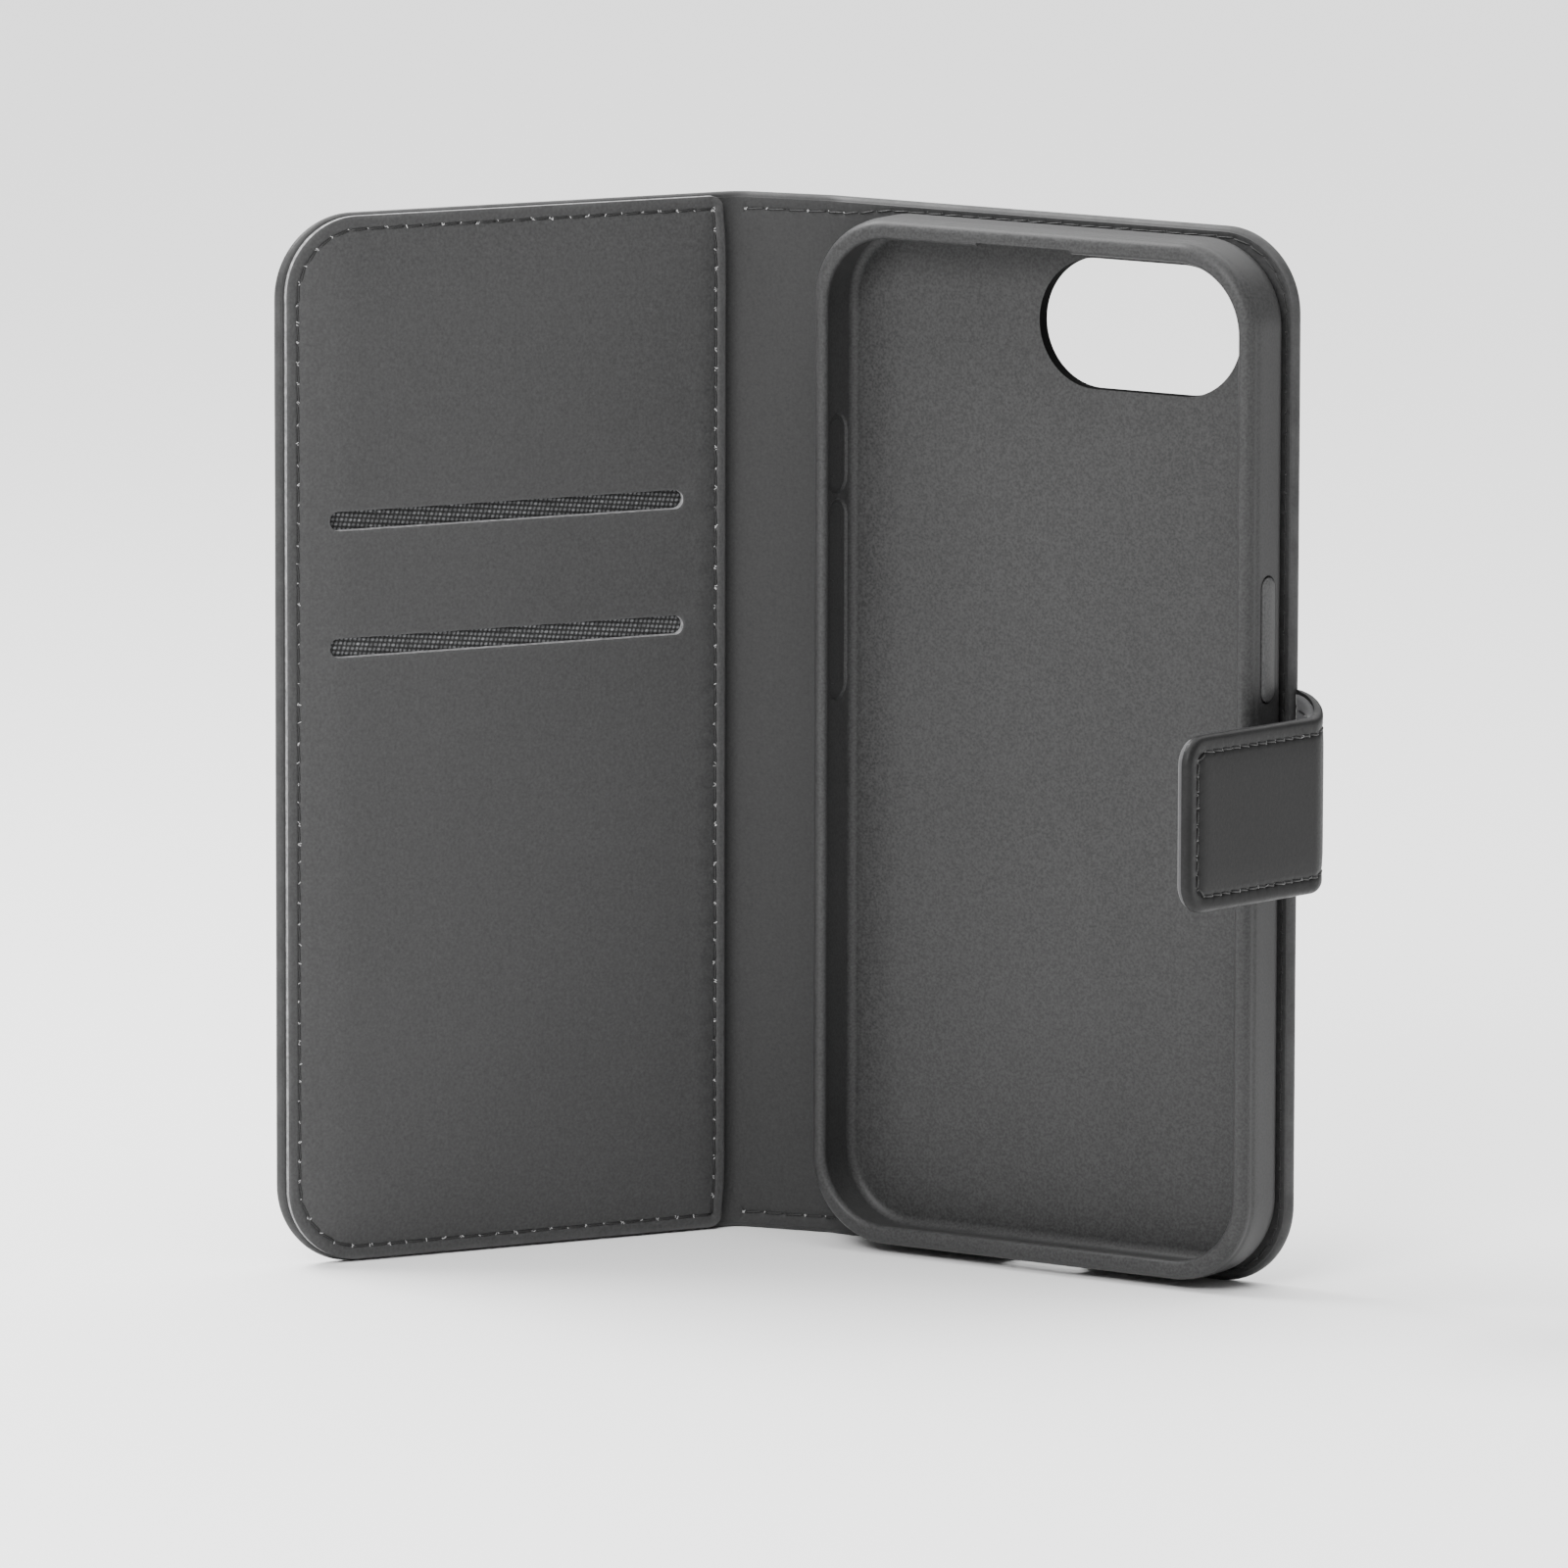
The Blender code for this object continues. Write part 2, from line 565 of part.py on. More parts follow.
def build_flap(flap, origin, leather, cloth, thread):
    start = TIP_BEND + BEND_GAP
    tip = STRAP_LENGTH
    skin = strap_sheet("strap_flap_outer_skin", start, tip, 0.05, STRAP_HALF, 0, flap, leather, origin)
    lining = strap_sheet("strap_flap_lining", start, tip - LINING_INSET, -STRAP_HALF, -0.05,
                         LINING_INSET, flap, cloth, origin)
    ends = (tip - 3.2 - MAGNET_W, tip - 3.2)
    room = strap_block("strap_magnet_room", ends[0] - 0.2, ends[1] + 0.2, 0.45, MAGNET_H / 2 + 0.2,
                       flap, None, origin)
    for sheet in (skin, lining):
        subtract(sheet, room)
    strap_block("strap_magnet", *ends, 0.35, MAGNET_H / 2, flap,
                material("strap magnet steel", STEEL, 0.35, 1.0), origin)
    high = STRAP_W / 2 - STRAP_SEAM
    r = STRAP_CORNER - STRAP_SEAM + 0.4
    last = tip - STRAP_SEAM
    line = [(s, high) for s in stations(start + 0.3, last - r)]
    line += [(last - r + r * math.sin(a), high - r + r * math.cos(a))
             for a in (math.pi / 12 * i for i in range(1, 7))]
    line += [(s, -v) for s, v in reversed(line)]
    strap_seam("strap_flap_thread", line, flap, thread, origin)


cover_root = pivot_empty("back_cover_origin", (FOLD_X, INNER_Y, 0))
build_back_cover(cover_root)
build_adhesive_pad(cover_root)
build_shell(cover_root)
spine_pivot = pivot_empty("spine_fold_axis", (0, BACK_THICK, 0), SPINE_REST, cover_root)
build_spine(spine_pivot)
cover_pivot = pivot_empty("cover_fold_axis", (-SPINE_WIDTH, 0, 0), COVER_REST, spine_pivot)
build_front_cover(cover_pivot)
build_strap_anchor(cover_root)
build_strap(cover_root)
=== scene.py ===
"""Phone wallet case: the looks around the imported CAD.

Lengths are in millimetres until a mesh is made. A cover sheet is laid out flat in (t, z): t runs
from the middle of the spine, positive towards the strap and negative over the front cover.
"""
import json
import math

import bmesh
import bpy
import numpy as np
from mathutils import Matrix, Vector
from mathutils.geometry import delaunay_2d_cdt

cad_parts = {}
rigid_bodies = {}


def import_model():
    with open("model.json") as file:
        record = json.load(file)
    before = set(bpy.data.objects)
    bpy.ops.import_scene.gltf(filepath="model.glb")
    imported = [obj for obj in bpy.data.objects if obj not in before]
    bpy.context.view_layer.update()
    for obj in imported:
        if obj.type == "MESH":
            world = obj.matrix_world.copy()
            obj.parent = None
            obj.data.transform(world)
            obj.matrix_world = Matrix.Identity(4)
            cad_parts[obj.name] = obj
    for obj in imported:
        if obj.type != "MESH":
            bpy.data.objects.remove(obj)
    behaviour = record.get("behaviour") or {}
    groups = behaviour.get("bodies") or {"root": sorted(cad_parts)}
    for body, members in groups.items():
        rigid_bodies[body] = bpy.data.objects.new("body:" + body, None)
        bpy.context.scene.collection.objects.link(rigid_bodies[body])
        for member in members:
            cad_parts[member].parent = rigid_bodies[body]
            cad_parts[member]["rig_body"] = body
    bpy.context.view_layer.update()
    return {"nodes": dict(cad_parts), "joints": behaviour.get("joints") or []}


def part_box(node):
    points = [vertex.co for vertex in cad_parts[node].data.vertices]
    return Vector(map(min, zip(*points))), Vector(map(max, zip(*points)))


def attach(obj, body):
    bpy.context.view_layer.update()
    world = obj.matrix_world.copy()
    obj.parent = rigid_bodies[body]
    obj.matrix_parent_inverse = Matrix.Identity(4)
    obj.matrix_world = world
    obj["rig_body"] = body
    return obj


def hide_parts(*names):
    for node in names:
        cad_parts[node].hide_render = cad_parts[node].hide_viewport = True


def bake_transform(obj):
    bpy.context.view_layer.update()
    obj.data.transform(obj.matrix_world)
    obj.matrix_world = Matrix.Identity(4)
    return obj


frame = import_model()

MM = 0.001
NODES = frame["nodes"]
JOINTS = {j["name"]: j for j in frame["joints"]}


def box_mm(node):
    low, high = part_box(node)
    return np.array(low) / MM, np.array(high) / MM


def pivot(joint):
    return np.array(JOINTS[joint]["pos_m"]) / MM


# Cover layout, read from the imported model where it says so.
FOLD_A = pivot("spine_fold")[:2]
FOLD_B = pivot("cover_fold")[:2]
SPINE_TURN = math.radians(12.0)
COVER_TURN = math.radians(59.4)
HEIGHT = box_mm("back_cover_outer_skin")[1][2]
BACK_WIDTH = box_mm("back_cover_outer_skin")[1][0] - FOLD_A[0]
FRONT_WIDTH = 74.8
CORNER_R = 12.0
HALF_SPINE = np.linalg.norm(FOLD_A - FOLD_B) / 2
BACK_END = HALF_SPINE + BACK_WIDTH
FRONT_END = HALF_SPINE + FRONT_WIDTH
BACK_THICK = 2.2
FOLD_A_R = 20.0
FOLD_B_R = 6.0

# Layer depths (outer face, inner face) on the spine, the back cover and the front cover.
SKIN_BACK = 0.7
SKIN_SPINE = 0.5
LINING_BACK = (1.6, 2.2)
LINING_SPINE = (1.2, 1.7)
LINING_FRONT = (1.3, 1.6)

# The outer leather is turned over the board's edge: half of the edge's thickness, and the turned width.
EDGE_HALF_BACK = 1.1
EDGE_HALF_SPINE = 0.85
EDGE_HALF_FRONT = 0.8
TURNED = 0.9

# Seams.
PITCH = 2.9
BACK_SEAM = 1.5
SPINE_ROW = 2.4
PANEL_SEAM = 2.3
PANEL_SEAM_SHIFT = 0.6
PANEL_FOLD_SEAM = 5.2

# Card panel: hidden face's depth at its sewn edge, and how much further off it lies in the middle.
PANEL_U = (3.5, 73.7)
PANEL_Z = (0.4, HEIGHT - 0.4)
PANEL_R = CORNER_R - 0.8
PANEL_DEPTH = 1.68
PANEL_CROWN = 0.9
PANEL_THICK = 0.85
PANEL_RINGS = (0.0, 0.04, 0.1, 0.2, 0.34, 0.5, 0.8, 1.3)
SLOT_RINGS = (0.0, 0.05, 0.12, 0.25, 0.45, 0.8, 1.3, 2.0)
ABOVE_SLOT = -0.2
BELOW_SLOT = 0.1
TURNED_FOLD = 1.5
SLOT_Z = (109.0, 90.5)
SLOT_U = (10.5, 67.2)
SLOT_H = 2.8

# Shell.
SHELL_LOW, SHELL_HIGH = box_mm("phone_shell")
SHELL_R = 12.5
WINDOW_X = (35.85, 69.85)
WINDOW_Z = (128.65, 147.65)

# Strap: the same curve as the CAD's.
STRAP_HALF = 1.1
STRAP_W = 25.5
STRAP_Z = (74.6, 71.85, 73.05)
STRAP_Y = 0.5
STRAP_OUT = 0.3
STRAP_R = 5.7
STRAP_TURN = math.radians(92.0)
STRAP_STRAIGHT = 32.9
TIP_BEND = 19.5
STRAP_CORNER = 4.3
STRAP_SEAM = 2.4
BEND_END = STRAP_OUT + STRAP_TURN * STRAP_R
STRAP_LENGTH = BEND_END + STRAP_STRAIGHT
ROOT_BEND = (STRAP_OUT + BEND_END) / 2
STRAP_SPLIT = (ROOT_BEND + TIP_BEND) / 2 + 0.6


def smooth(x, low, high):
    t = np.clip((x - low) / (high - low), 0.0, 1.0)
    return t * t * (3 - 2 * t)


def round_over(e, r):
    """How far a rounded edge of radius r drops at a distance e in from it."""
    x = np.clip(r - e, 0.0, r)
    return r - np.sqrt(np.maximum(r * r - x * x, 0.0))


def along(a):
    return np.stack([np.cos(a), np.sin(a)], -1)


def outward(a):
    return np.stack([-np.sin(a), np.cos(a)], -1)


def cover(points, depth):
    """World points of (t, z) points at a depth below the cover's outer surface."""
    t = points[:, 0]
    depth = np.broadcast_to(depth, t.shape)[:, None]
    spine, front = np.full(t.shape, SPINE_TURN), np.full(t.shape, COVER_TURN)
    xy = FOLD_A + (t - HALF_SPINE)[:, None] * along(spine) - depth * outward(spine)
    back = FOLD_A + (t - HALF_SPINE)[:, None] * along(spine * 0) - depth * outward(spine * 0)
    far = FOLD_B + (t + HALF_SPINE)[:, None] * along(front) - depth * outward(front)
    xy = np.where((t > HALF_SPINE)[:, None], back, xy)
    xy = np.where((t < -HALF_SPINE)[:, None], far, xy)
    folds = ((HALF_SPINE, FOLD_A, SPINE_TURN, 0.0, FOLD_A_R),
             (-HALF_SPINE, FOLD_B, COVER_TURN, SPINE_TURN, FOLD_B_R))
    for corner_t, corner, low, high, r in folds:
        reach = r * math.tan((low - high) / 2)
        f = (t - corner_t + reach) / (2 * reach)
        a = low + (high - low) * np.clip(f, 0, 1)
        centre = corner - reach * along(low) - r * outward(low)
        arc = centre + (r - depth) * outward(a)
        xy = np.where(((f > 0) & (f < 1))[:, None], arc, xy)
    return np.column_stack([xy, points[:, 1]])


def strap(points, d):
    """World points of (s, v) points of the strap, d outside its middle surface."""
    s, v = points[:, 0], points[:, 1]
    turned = np.clip((s - STRAP_OUT) / STRAP_R, 0.0, STRAP_TURN)
    out_x, out_y = np.sin(turned), np.cos(turned)
    after = np.maximum(s - BEND_END, 0.0)
    x = BACK_WIDTH + np.minimum(s, STRAP_OUT) + STRAP_R * out_x + after * out_y + out_x * d
    y = STRAP_Y - STRAP_R + STRAP_R * out_y - after * out_x + out_y * d
    dip = (STRAP_Z[1] - STRAP_Z[0]) * smooth(s, 0.0, BEND_END)
    rise = (STRAP_Z[2] - STRAP_Z[1]) * after / STRAP_STRAIGHT
    return np.column_stack([x + FOLD_A[0], y + FOLD_A[1] - BACK_THICK, STRAP_Z[0] + dip + rise + v])


# Flat layouts. A gap below TOUCHING lies on an edge, and faces nearer than SHUT are joined there.
TOUCHING = 1e-6
SHUT = 0.004
BATCH = 2000
ALL_SMOOTH = 180.0


def loop_of(x0, x1, z0, z1, r0, r1, step=1.4, arc_steps=20):
    """Closed outline with corner radii r0 at x0 and r1 at x1: points and their inward normals."""
    corners = ((x1, z0, r1, -90), (x1, z1, r1, 0), (x0, z1, r0, 90), (x0, z0, r0, 180))
    points, normals = [], []
    for x, z, r, start in corners:
        cx = x - r if x == x1 else x + r
        cz = z + r if z == z0 else z - r
        for i in range(arc_steps + 1):
            a = math.radians(start + 90 * i / arc_steps)
            points.append((cx + r * math.cos(a), cz + r * math.sin(a)))
            normals.append((-math.cos(a), -math.sin(a)))
    return spread(np.array(points), np.array(normals), step)


def spread(points, normals, step):
    """Adds points on a closed outline's long straight stretches, so that none is longer than step."""
    out_p, out_n = [], []
    for i in range(len(points)):
        a, b = points[i], points[(i + 1) % len(points)]
        m, n = normals[i], normals[(i + 1) % len(points)]
        parts = max(1, math.ceil(np.linalg.norm(b - a) / step))
        for k in range(parts):
            if k == 0 and i > 0 and np.linalg.norm(b - a) < 1e-9:
                continue
            f = k / parts
            out_p.append(a + (b - a) * f)
            out_n.append(m + (n - m) * f)
    return np.array(out_p), np.array(out_n)


def open_outline(start, end, z0, z1, r, stations=(), step=1.4, sign=1, arc_steps=24):
    """From the cut at start along the bottom, round the free end and back along the top."""
    row = sorted({*[start + step * i for i in range(int((end - r - start) / step) + 1)], *stations})
    row = [x for x in row if start - 1e-9 <= x < end - r - 0.2]
    arc = [math.pi / 2 * i / arc_steps for i in range(arc_steps + 1)]
    points = [(x, z0) for x in row]
    normals = [(0, 1)] * len(row)
    points += [(end - r + r * math.sin(a), z0 + r - r * math.cos(a)) for a in arc]
    normals += [(-math.sin(a), math.cos(a)) for a in arc]
    points, normals = np.array(points), np.array(normals)
    top, top_n = points[::-1].copy(), normals[::-1].copy()
    top[:, 1] = z0 + z1 - top[:, 1]
    top_n[:, 1] *= -1
    count = max(2, round((z1 - z0 - 2 * r) / step))
    side = np.linspace(points[-1], top[0], count + 1)[1:-1]
    points = np.concatenate([points, side, top])
    normals = np.concatenate([normals, np.tile((-1.0, 0.0), (len(side), 1)), top_n])
    flip = np.array((sign, 1.0))
    return points * flip, normals * flip


def distance(points, line, closed=False):
    """Shortest distance of each point to a line of points."""
    a = np.asarray(line, float)
    b = np.roll(a, -1, 0) if closed else a[1:]
    a = a if closed else a[:-1]
    best = np.full(len(points), 1e9)
    for i in range(0, len(points), BATCH):
        p = points[i:i + BATCH, None]
        ab = (b - a)[None]
        f = np.clip(((p - a) * ab).sum(2) / np.maximum((ab ** 2).sum(2), 1e-12), 0, 1)
        best[i:i + BATCH] = np.sqrt((((a + ab * f[..., None]) - p) ** 2).sum(2)).min(1)
    return best


def inside(points, polygon):
    x, y = points[:, 0], points[:, 1]
    found = np.zeros(len(points), bool)
    for (x0, y0), (x1, y1) in zip(polygon, np.roll(polygon, -1, 0)):
        if y0 == y1:
            continue
        crossing = (y0 > y) != (y1 > y)
        found ^= crossing & (x < (x1 - x0) * (y - y0) / (y1 - y0) + x0)
    return found


def flat_mesh(outline, lines, holes=(), spacing=2.6):
    """Triangles over an outline less its holes, with every (points, closed) line as edges."""
    points, edges = [], []
    for line, closed in lines:
        base, count = len(points), len(line)
        points += list(line)
        edges += [(base + i, base + (i + 1) % count) for i in range(count if closed else count - 1)]
    placed = np.array(points)
    low, high = outline.min(0), outline.max(0)
    xs = np.arange(low[0] + spacing / 2, high[0], spacing)
    zs = np.arange(low[1] + spacing / 2, high[1], spacing)
    grid = np.array([(x + (spacing / 2 if k % 2 else 0), z) for k, z in enumerate(zs) for x in xs])
    grid = grid[inside(grid, outline)]
    for hole in holes:
        grid = grid[~inside(grid, hole)]
    far = np.ones(len(grid), bool)
    for i in range(0, len(placed), BATCH):
        gap = np.linalg.norm(grid[:, None] - placed[None, i:i + BATCH], axis=2).min(1)
        far &= gap > spacing * 0.45
    everything = [Vector(p) for p in points] + [Vector(p) for p in grid[far]]
    found = delaunay_2d_cdt(everything, edges, [], 0, 1e-5)
    verts = np.array([tuple(v) for v in found[0]])
    tris = np.array([f for f in found[2] if len(f) == 3])
    centre = verts[tris].mean(1)
    keep = inside(centre, outline)
    for hole in holes:
        keep &= ~inside(centre, hole)
    return compact(verts, tris[keep])


def compact(points, tris):
    """The points that triangles use, and the triangles with their new numbers."""
    used, tris = np.unique(tris, return_inverse=True)
    return points[used], tris.reshape(-1, 3)


def make_object(name, verts, faces, materials, face_material=None, sharp=40.0):
    mesh = bpy.data.meshes.new(name)
    mesh.from_pydata((np.asarray(verts) * MM).tolist(), [], faces)
    for mat in materials:
        mesh.materials.append(mat)
    if face_material is not None:
        mesh.polygons.foreach_set("material_index", np.asarray(face_material, np.int32))
    obj = bpy.data.objects.new(name, mesh)
    bpy.context.scene.collection.objects.link(obj)
    bm = bmesh.new()
    bm.from_mesh(mesh)
    bmesh.ops.recalc_face_normals(bm, faces=bm.faces)
    bm.to_mesh(mesh)
    bm.free()
    mesh.shade_smooth()
    mesh.set_sharp_from_angle(angle=math.radians(sharp))
    return obj


def float_attribute(obj, name, values):
    attribute = obj.data.attributes.new(name, "FLOAT", "POINT")
    attribute.data.foreach_set("value", np.asarray(values, np.float32))


def sheet_piece(name, flat, outer, inner, mapper, materials, wall=0, edge_wear_and_highlight=None, inner_points=None):
    """Closed sheet between two depth surfaces over a flat layout. Its side walls are wall's material."""
    points, tris = flat
    count = len(points)
    lower = points if inner_points is None else inner_points
    verts = np.concatenate([mapper(points, outer), mapper(lower, inner)])
    shut = np.abs(outer - inner) < SHUT
    partner = np.where(shut, np.arange(count), np.arange(count) + count)
    sides = dict.fromkeys((int(tri[i]), int(tri[(i + 1) % 3])) for tri in tris for i in range(3))
    faces = [tuple(t) for t in tris.tolist()]
    faces += [tuple(int(partner[i]) for i in reversed(t)) for t in tris.tolist()]
    kinds = [0] * len(faces)
    for a, b in sides:
        if (b, a) in sides:
            continue
        ring = list(dict.fromkeys((b, a, int(partner[a]), int(partner[b]))))
        if len(ring) >= 3:
            faces.append(tuple(ring))
            kinds.append(wall)
    used = np.unique(np.concatenate([np.array(f) for f in faces]))
    renumber = np.full(2 * count, -1)
    renumber[used] = np.arange(len(used))
    faces = [tuple(int(renumber[i]) for i in f) for f in faces]
    obj = make_object(name, verts[used], faces, materials, kinds)
    # The edge attribute paints the edges paler: partly rubbed wear, partly painted highlight.
    if edge_wear_and_highlight is not None:
        float_attribute(obj, "edge_wear_and_highlight", np.concatenate([edge_wear_and_highlight, edge_wear_and_highlight])[used])
    return obj


def gentle(points, size):
    """Slow unevenness of hand-laid leather."""
    x, z = points[:, 0], points[:, 1]
    return size * (np.sin(x / 11.0 + 1.3) * np.sin(z / 17.0 + 0.4)
                   + 0.6 * np.sin(x / 6.3 + z / 9.1) + 0.4 * np.sin(z / 5.2 - x / 13.0 + 2.0))


# Seams: holes at an even pitch along a line, a groove between them and a thread in each stitch.
SEAM_OFFSETS = (-0.45, -0.2, 0.0, 0.2, 0.45)
ROW_OFFSETS = (-0.3, -0.15, 0.0, 0.15, 0.3)
SEAM_STEP = 0.48
HOLE_R = 0.26
HOLE_REACH = 0.8
THREAD_R = 0.14
THREAD_STEPS = 13
CROSSING_STEPS = 6
TUBE_SIDES = 10


def resample(line, step):
    line = np.asarray(line, float)
    gaps = np.r_[0, np.cumsum(np.linalg.norm(np.diff(line, axis=0), axis=1))]
    count = max(1, round(gaps[-1] / step))
    marks = np.linspace(0, gaps[-1], count + 1)
    return np.column_stack([np.interp(marks, gaps, line[:, i]) for i in range(2)])


def beside(line, offset):
    line = np.asarray(line, float)
    run = np.gradient(line, axis=0)
    run /= np.linalg.norm(run, axis=1)[:, None]
    return line + offset * np.column_stack([-run[:, 1], run[:, 0]])


def seam_lines(line, offsets=SEAM_OFFSETS):
    fine = resample(line, SEAM_STEP)
    return [(beside(fine, o), False) for o in offsets]


def sunk(points, seams, deep=0.15, wide=0.3, hole=0.2, pitch=PITCH):
    """How deep the seams pull the leather in."""
    total = np.zeros(len(points))
    for line in seams:
        gap = distance(points, line)
        total = np.maximum(total, deep * np.exp(-(gap / wide) ** 2))
        near = np.flatnonzero(gap < HOLE_REACH)
        holes = resample(line, pitch)
        if len(near):
            reach = np.linalg.norm(points[near, None] - holes[None], axis=2).min(1)
            total[near] += hole * np.exp(-(reach / HOLE_R) ** 2)
    return total


class Stitching:
    """Tubes for the stitches of one piece: kind 0 is a stitch, and kind 1 a loop where two threads cross,
    coloured paler as a painted glint.
    """

    def __init__(self, mapper, seed):
        self.mapper = mapper
        self.random = np.random.RandomState(seed)
        self.verts, self.faces, self.kinds = [], [], []

    def sew(self, line, face, side, radius, pitch):
        """Stitches along a line. Side is +1 where the face's numbers grow away from the material."""
        self.face, self.side, self.radius = face, side, radius
        holes = resample(line, pitch)
        for start, end in zip(holes, holes[1:]):
            run = (end - start) / np.linalg.norm(end - start)
            across = np.array((-run[1], run[0]))
            self.stitch(start, end, run, across)
            # One to three pale loops at each hole: painted glints.
            for _ in range(self.random.choice((1, 2, 3))):
                self.crossing(end, run, across)

    def stitch(self, start, end, run, across):
        """One twisted thread between two holes, slightly slanted, which dives in at both ends."""
        slant = 0.1 + 0.06 * self.random.uniform(-1, 1)
        x = np.linspace(0.02, 0.98, THREAD_STEPS)
        middle = start + np.outer(x, end - start) + np.outer((x - 0.5) * 2 * slant, across)
        height = self.radius * (0.85 + 0.1 * self.random.uniform(-1, 1))
        lift = height * (1 - np.abs(2 * x - 1) ** 4)
        lift -= 0.34 * np.abs(2 * x - 1) ** 8
        thick = self.radius * (1 - 0.3 * np.abs(2 * x - 1) ** 5)
        self.tube(middle, lift, thick, 0, 7.0 * (end - start).dot(run))

    def crossing(self, hole, run, across):
        """A short thin loop over a hole, whose pale colour is a painted glint."""
        lean = self.random.uniform(0.5, 1.4) * self.random.choice((-1, 1))
        direction = run * math.cos(lean) + across * math.sin(lean)
        length = self.radius * self.random.uniform(1.0, 2.4)
        y = np.linspace(-1, 1, CROSSING_STEPS)
        nudge = run * 0.3 * self.random.uniform(-1, 1) + across * 0.12 * self.random.uniform(-1, 1)
        middle = hole + nudge + np.outer(y * length, direction)
        lift = self.radius * self.random.uniform(0.5, 1.3) * (1 - y ** 2) - 0.2 * y ** 4
        thick = np.full(CROSSING_STEPS, self.radius * self.random.uniform(0.35, 0.6))
        self.tube(middle, lift, thick, 1, 0.0)

    def tube(self, middle, lift, thick, kind, twist):
        """One closed tube along points of the flat layout, lifted off the face."""
        depth = self.face(middle)
        centre = self.mapper(middle, depth + self.side * lift)
        normal = self.mapper(middle, depth + self.side * 0.5) - self.mapper(middle, depth)
        normal /= np.linalg.norm(normal, axis=1)[:, None]
        run = np.gradient(centre, axis=0)
        run /= np.linalg.norm(run, axis=1)[:, None]
        cross = np.cross(run, normal)
        cross /= np.linalg.norm(cross, axis=1)[:, None]
        up = np.cross(cross, run)
        angle = np.linspace(0, 2 * math.pi, TUBE_SIDES, endpoint=False)
        turn = np.linspace(0, twist, len(middle))
        ply = 1 + 0.14 * np.cos(2 * (angle[None] - turn[:, None])) if twist else 1.0
        r = thick[:, None] * ply * np.ones(TUBE_SIDES)
        ring = (centre[:, None] + (r * np.cos(angle))[..., None] * cross[:, None]
                + (0.85 * r * np.sin(angle))[..., None] * up[:, None])
        self.join(ring, kind)

    def join(self, ring, kind):
        """Faces between the tube's rings and over its two ends."""
        base, count = len(self.verts), len(ring)
        self.verts.extend(ring.reshape(-1, 3).tolist())
        for i in range(count - 1):
            for k in range(TUBE_SIDES):
                n = (k + 1) % TUBE_SIDES
                a, b = base + i * TUBE_SIDES, base + (i + 1) * TUBE_SIDES
                self.faces.append((a + k, a + n, b + n, b + k))
        self.faces.append(tuple(base + k for k in range(TUBE_SIDES)))
        self.faces.append(tuple(base + (count - 1) * TUBE_SIDES + k for k in reversed(range(TUBE_SIDES))))
        self.kinds.extend([kind] * ((count - 1) * TUBE_SIDES + 2))


def thread_piece(name, mapper, rows, seed, crossing="glint_thread", pitch=PITCH):
    """Stitches along rows, each (line, depth function, side, thread radius). The crossing material is a paler
    thread that paints glints at the holes.
    """
    work = Stitching(mapper, seed)
    for row in rows:
        work.sew(*row, pitch)
    return make_object(name, work.verts, work.faces, [MAT["thread"], MAT[crossing]], work.kinds, 60)


# Materials.
class Look:
    """A node material around one Principled shader. Its textures run on object coordinates."""

    def __init__(self, name):
        self.mat = bpy.data.materials.new(name)
        self.mat.use_nodes = True
        self.tree = self.mat.node_tree
        self.shader = self.tree.nodes["Principled BSDF"].inputs
        self.coords = self.node("ShaderNodeTexCoord", ()).outputs["Object"]

    def node(self, kind, inputs, **settings):
        """Adds a node. Each of its inputs is given as (socket, number or output)."""
        node = self.tree.nodes.new(kind)
        for key, value in settings.items():
            setattr(node, key, value)
        for key, value in inputs:
            self.feed(node.inputs[key], value)
        return node

    def feed(self, socket, value):
        if isinstance(value, bpy.types.NodeSocket):
            self.tree.links.new(value, socket)
        else:
            socket.default_value = value

    def put(self, **values):
        """Sets the shader's sockets; a name's underscores stand for spaces."""
        for name, value in values.items():
            self.feed(self.shader[name.replace("_", " ")], value)

    def noise(self, scale, detail=2.0, rough=0.5):
        inputs = (("Vector", self.coords), ("Scale", scale), ("Detail", detail), ("Roughness", rough))
        return self.node("ShaderNodeTexNoise", inputs).outputs["Fac"]

    def pebbles(self, scale):
        inputs = (("Vector", self.coords), ("Scale", scale))
        return self.node("ShaderNodeTexVoronoi", inputs).outputs["Distance"]

    def attribute(self, name):
        return self.node("ShaderNodeAttribute", (), attribute_name=name).outputs["Fac"]

    def ramp(self, value, low, high, dark, light):
        """Maps low..high of a value to dark..light."""
        inputs = (("Value", value), ("From Min", low), ("From Max", high),
                  ("To Min", dark), ("To Max", light))
        return self.node("ShaderNodeMapRange", inputs).outputs["Result"]

    def maths(self, operation, a, b):
        return self.node("ShaderNodeMath", ((0, a), (1, b)), operation=operation).outputs["Value"]

    def colour(self, colour, factor):
        """Base colour multiplied by a factor."""
        tinted = self.node("ShaderNodeVectorMath", ((0, colour), ("Scale", factor)), operation="SCALE")
        self.put(Base_Color=tinted.outputs["Vector"])

    def bump(self, height, strength, reach_mm):
        inputs = (("Strength", strength), ("Distance", reach_mm * MM), ("Height", height))
        self.put(Normal=self.node("ShaderNodeBump", inputs).outputs["Normal"])


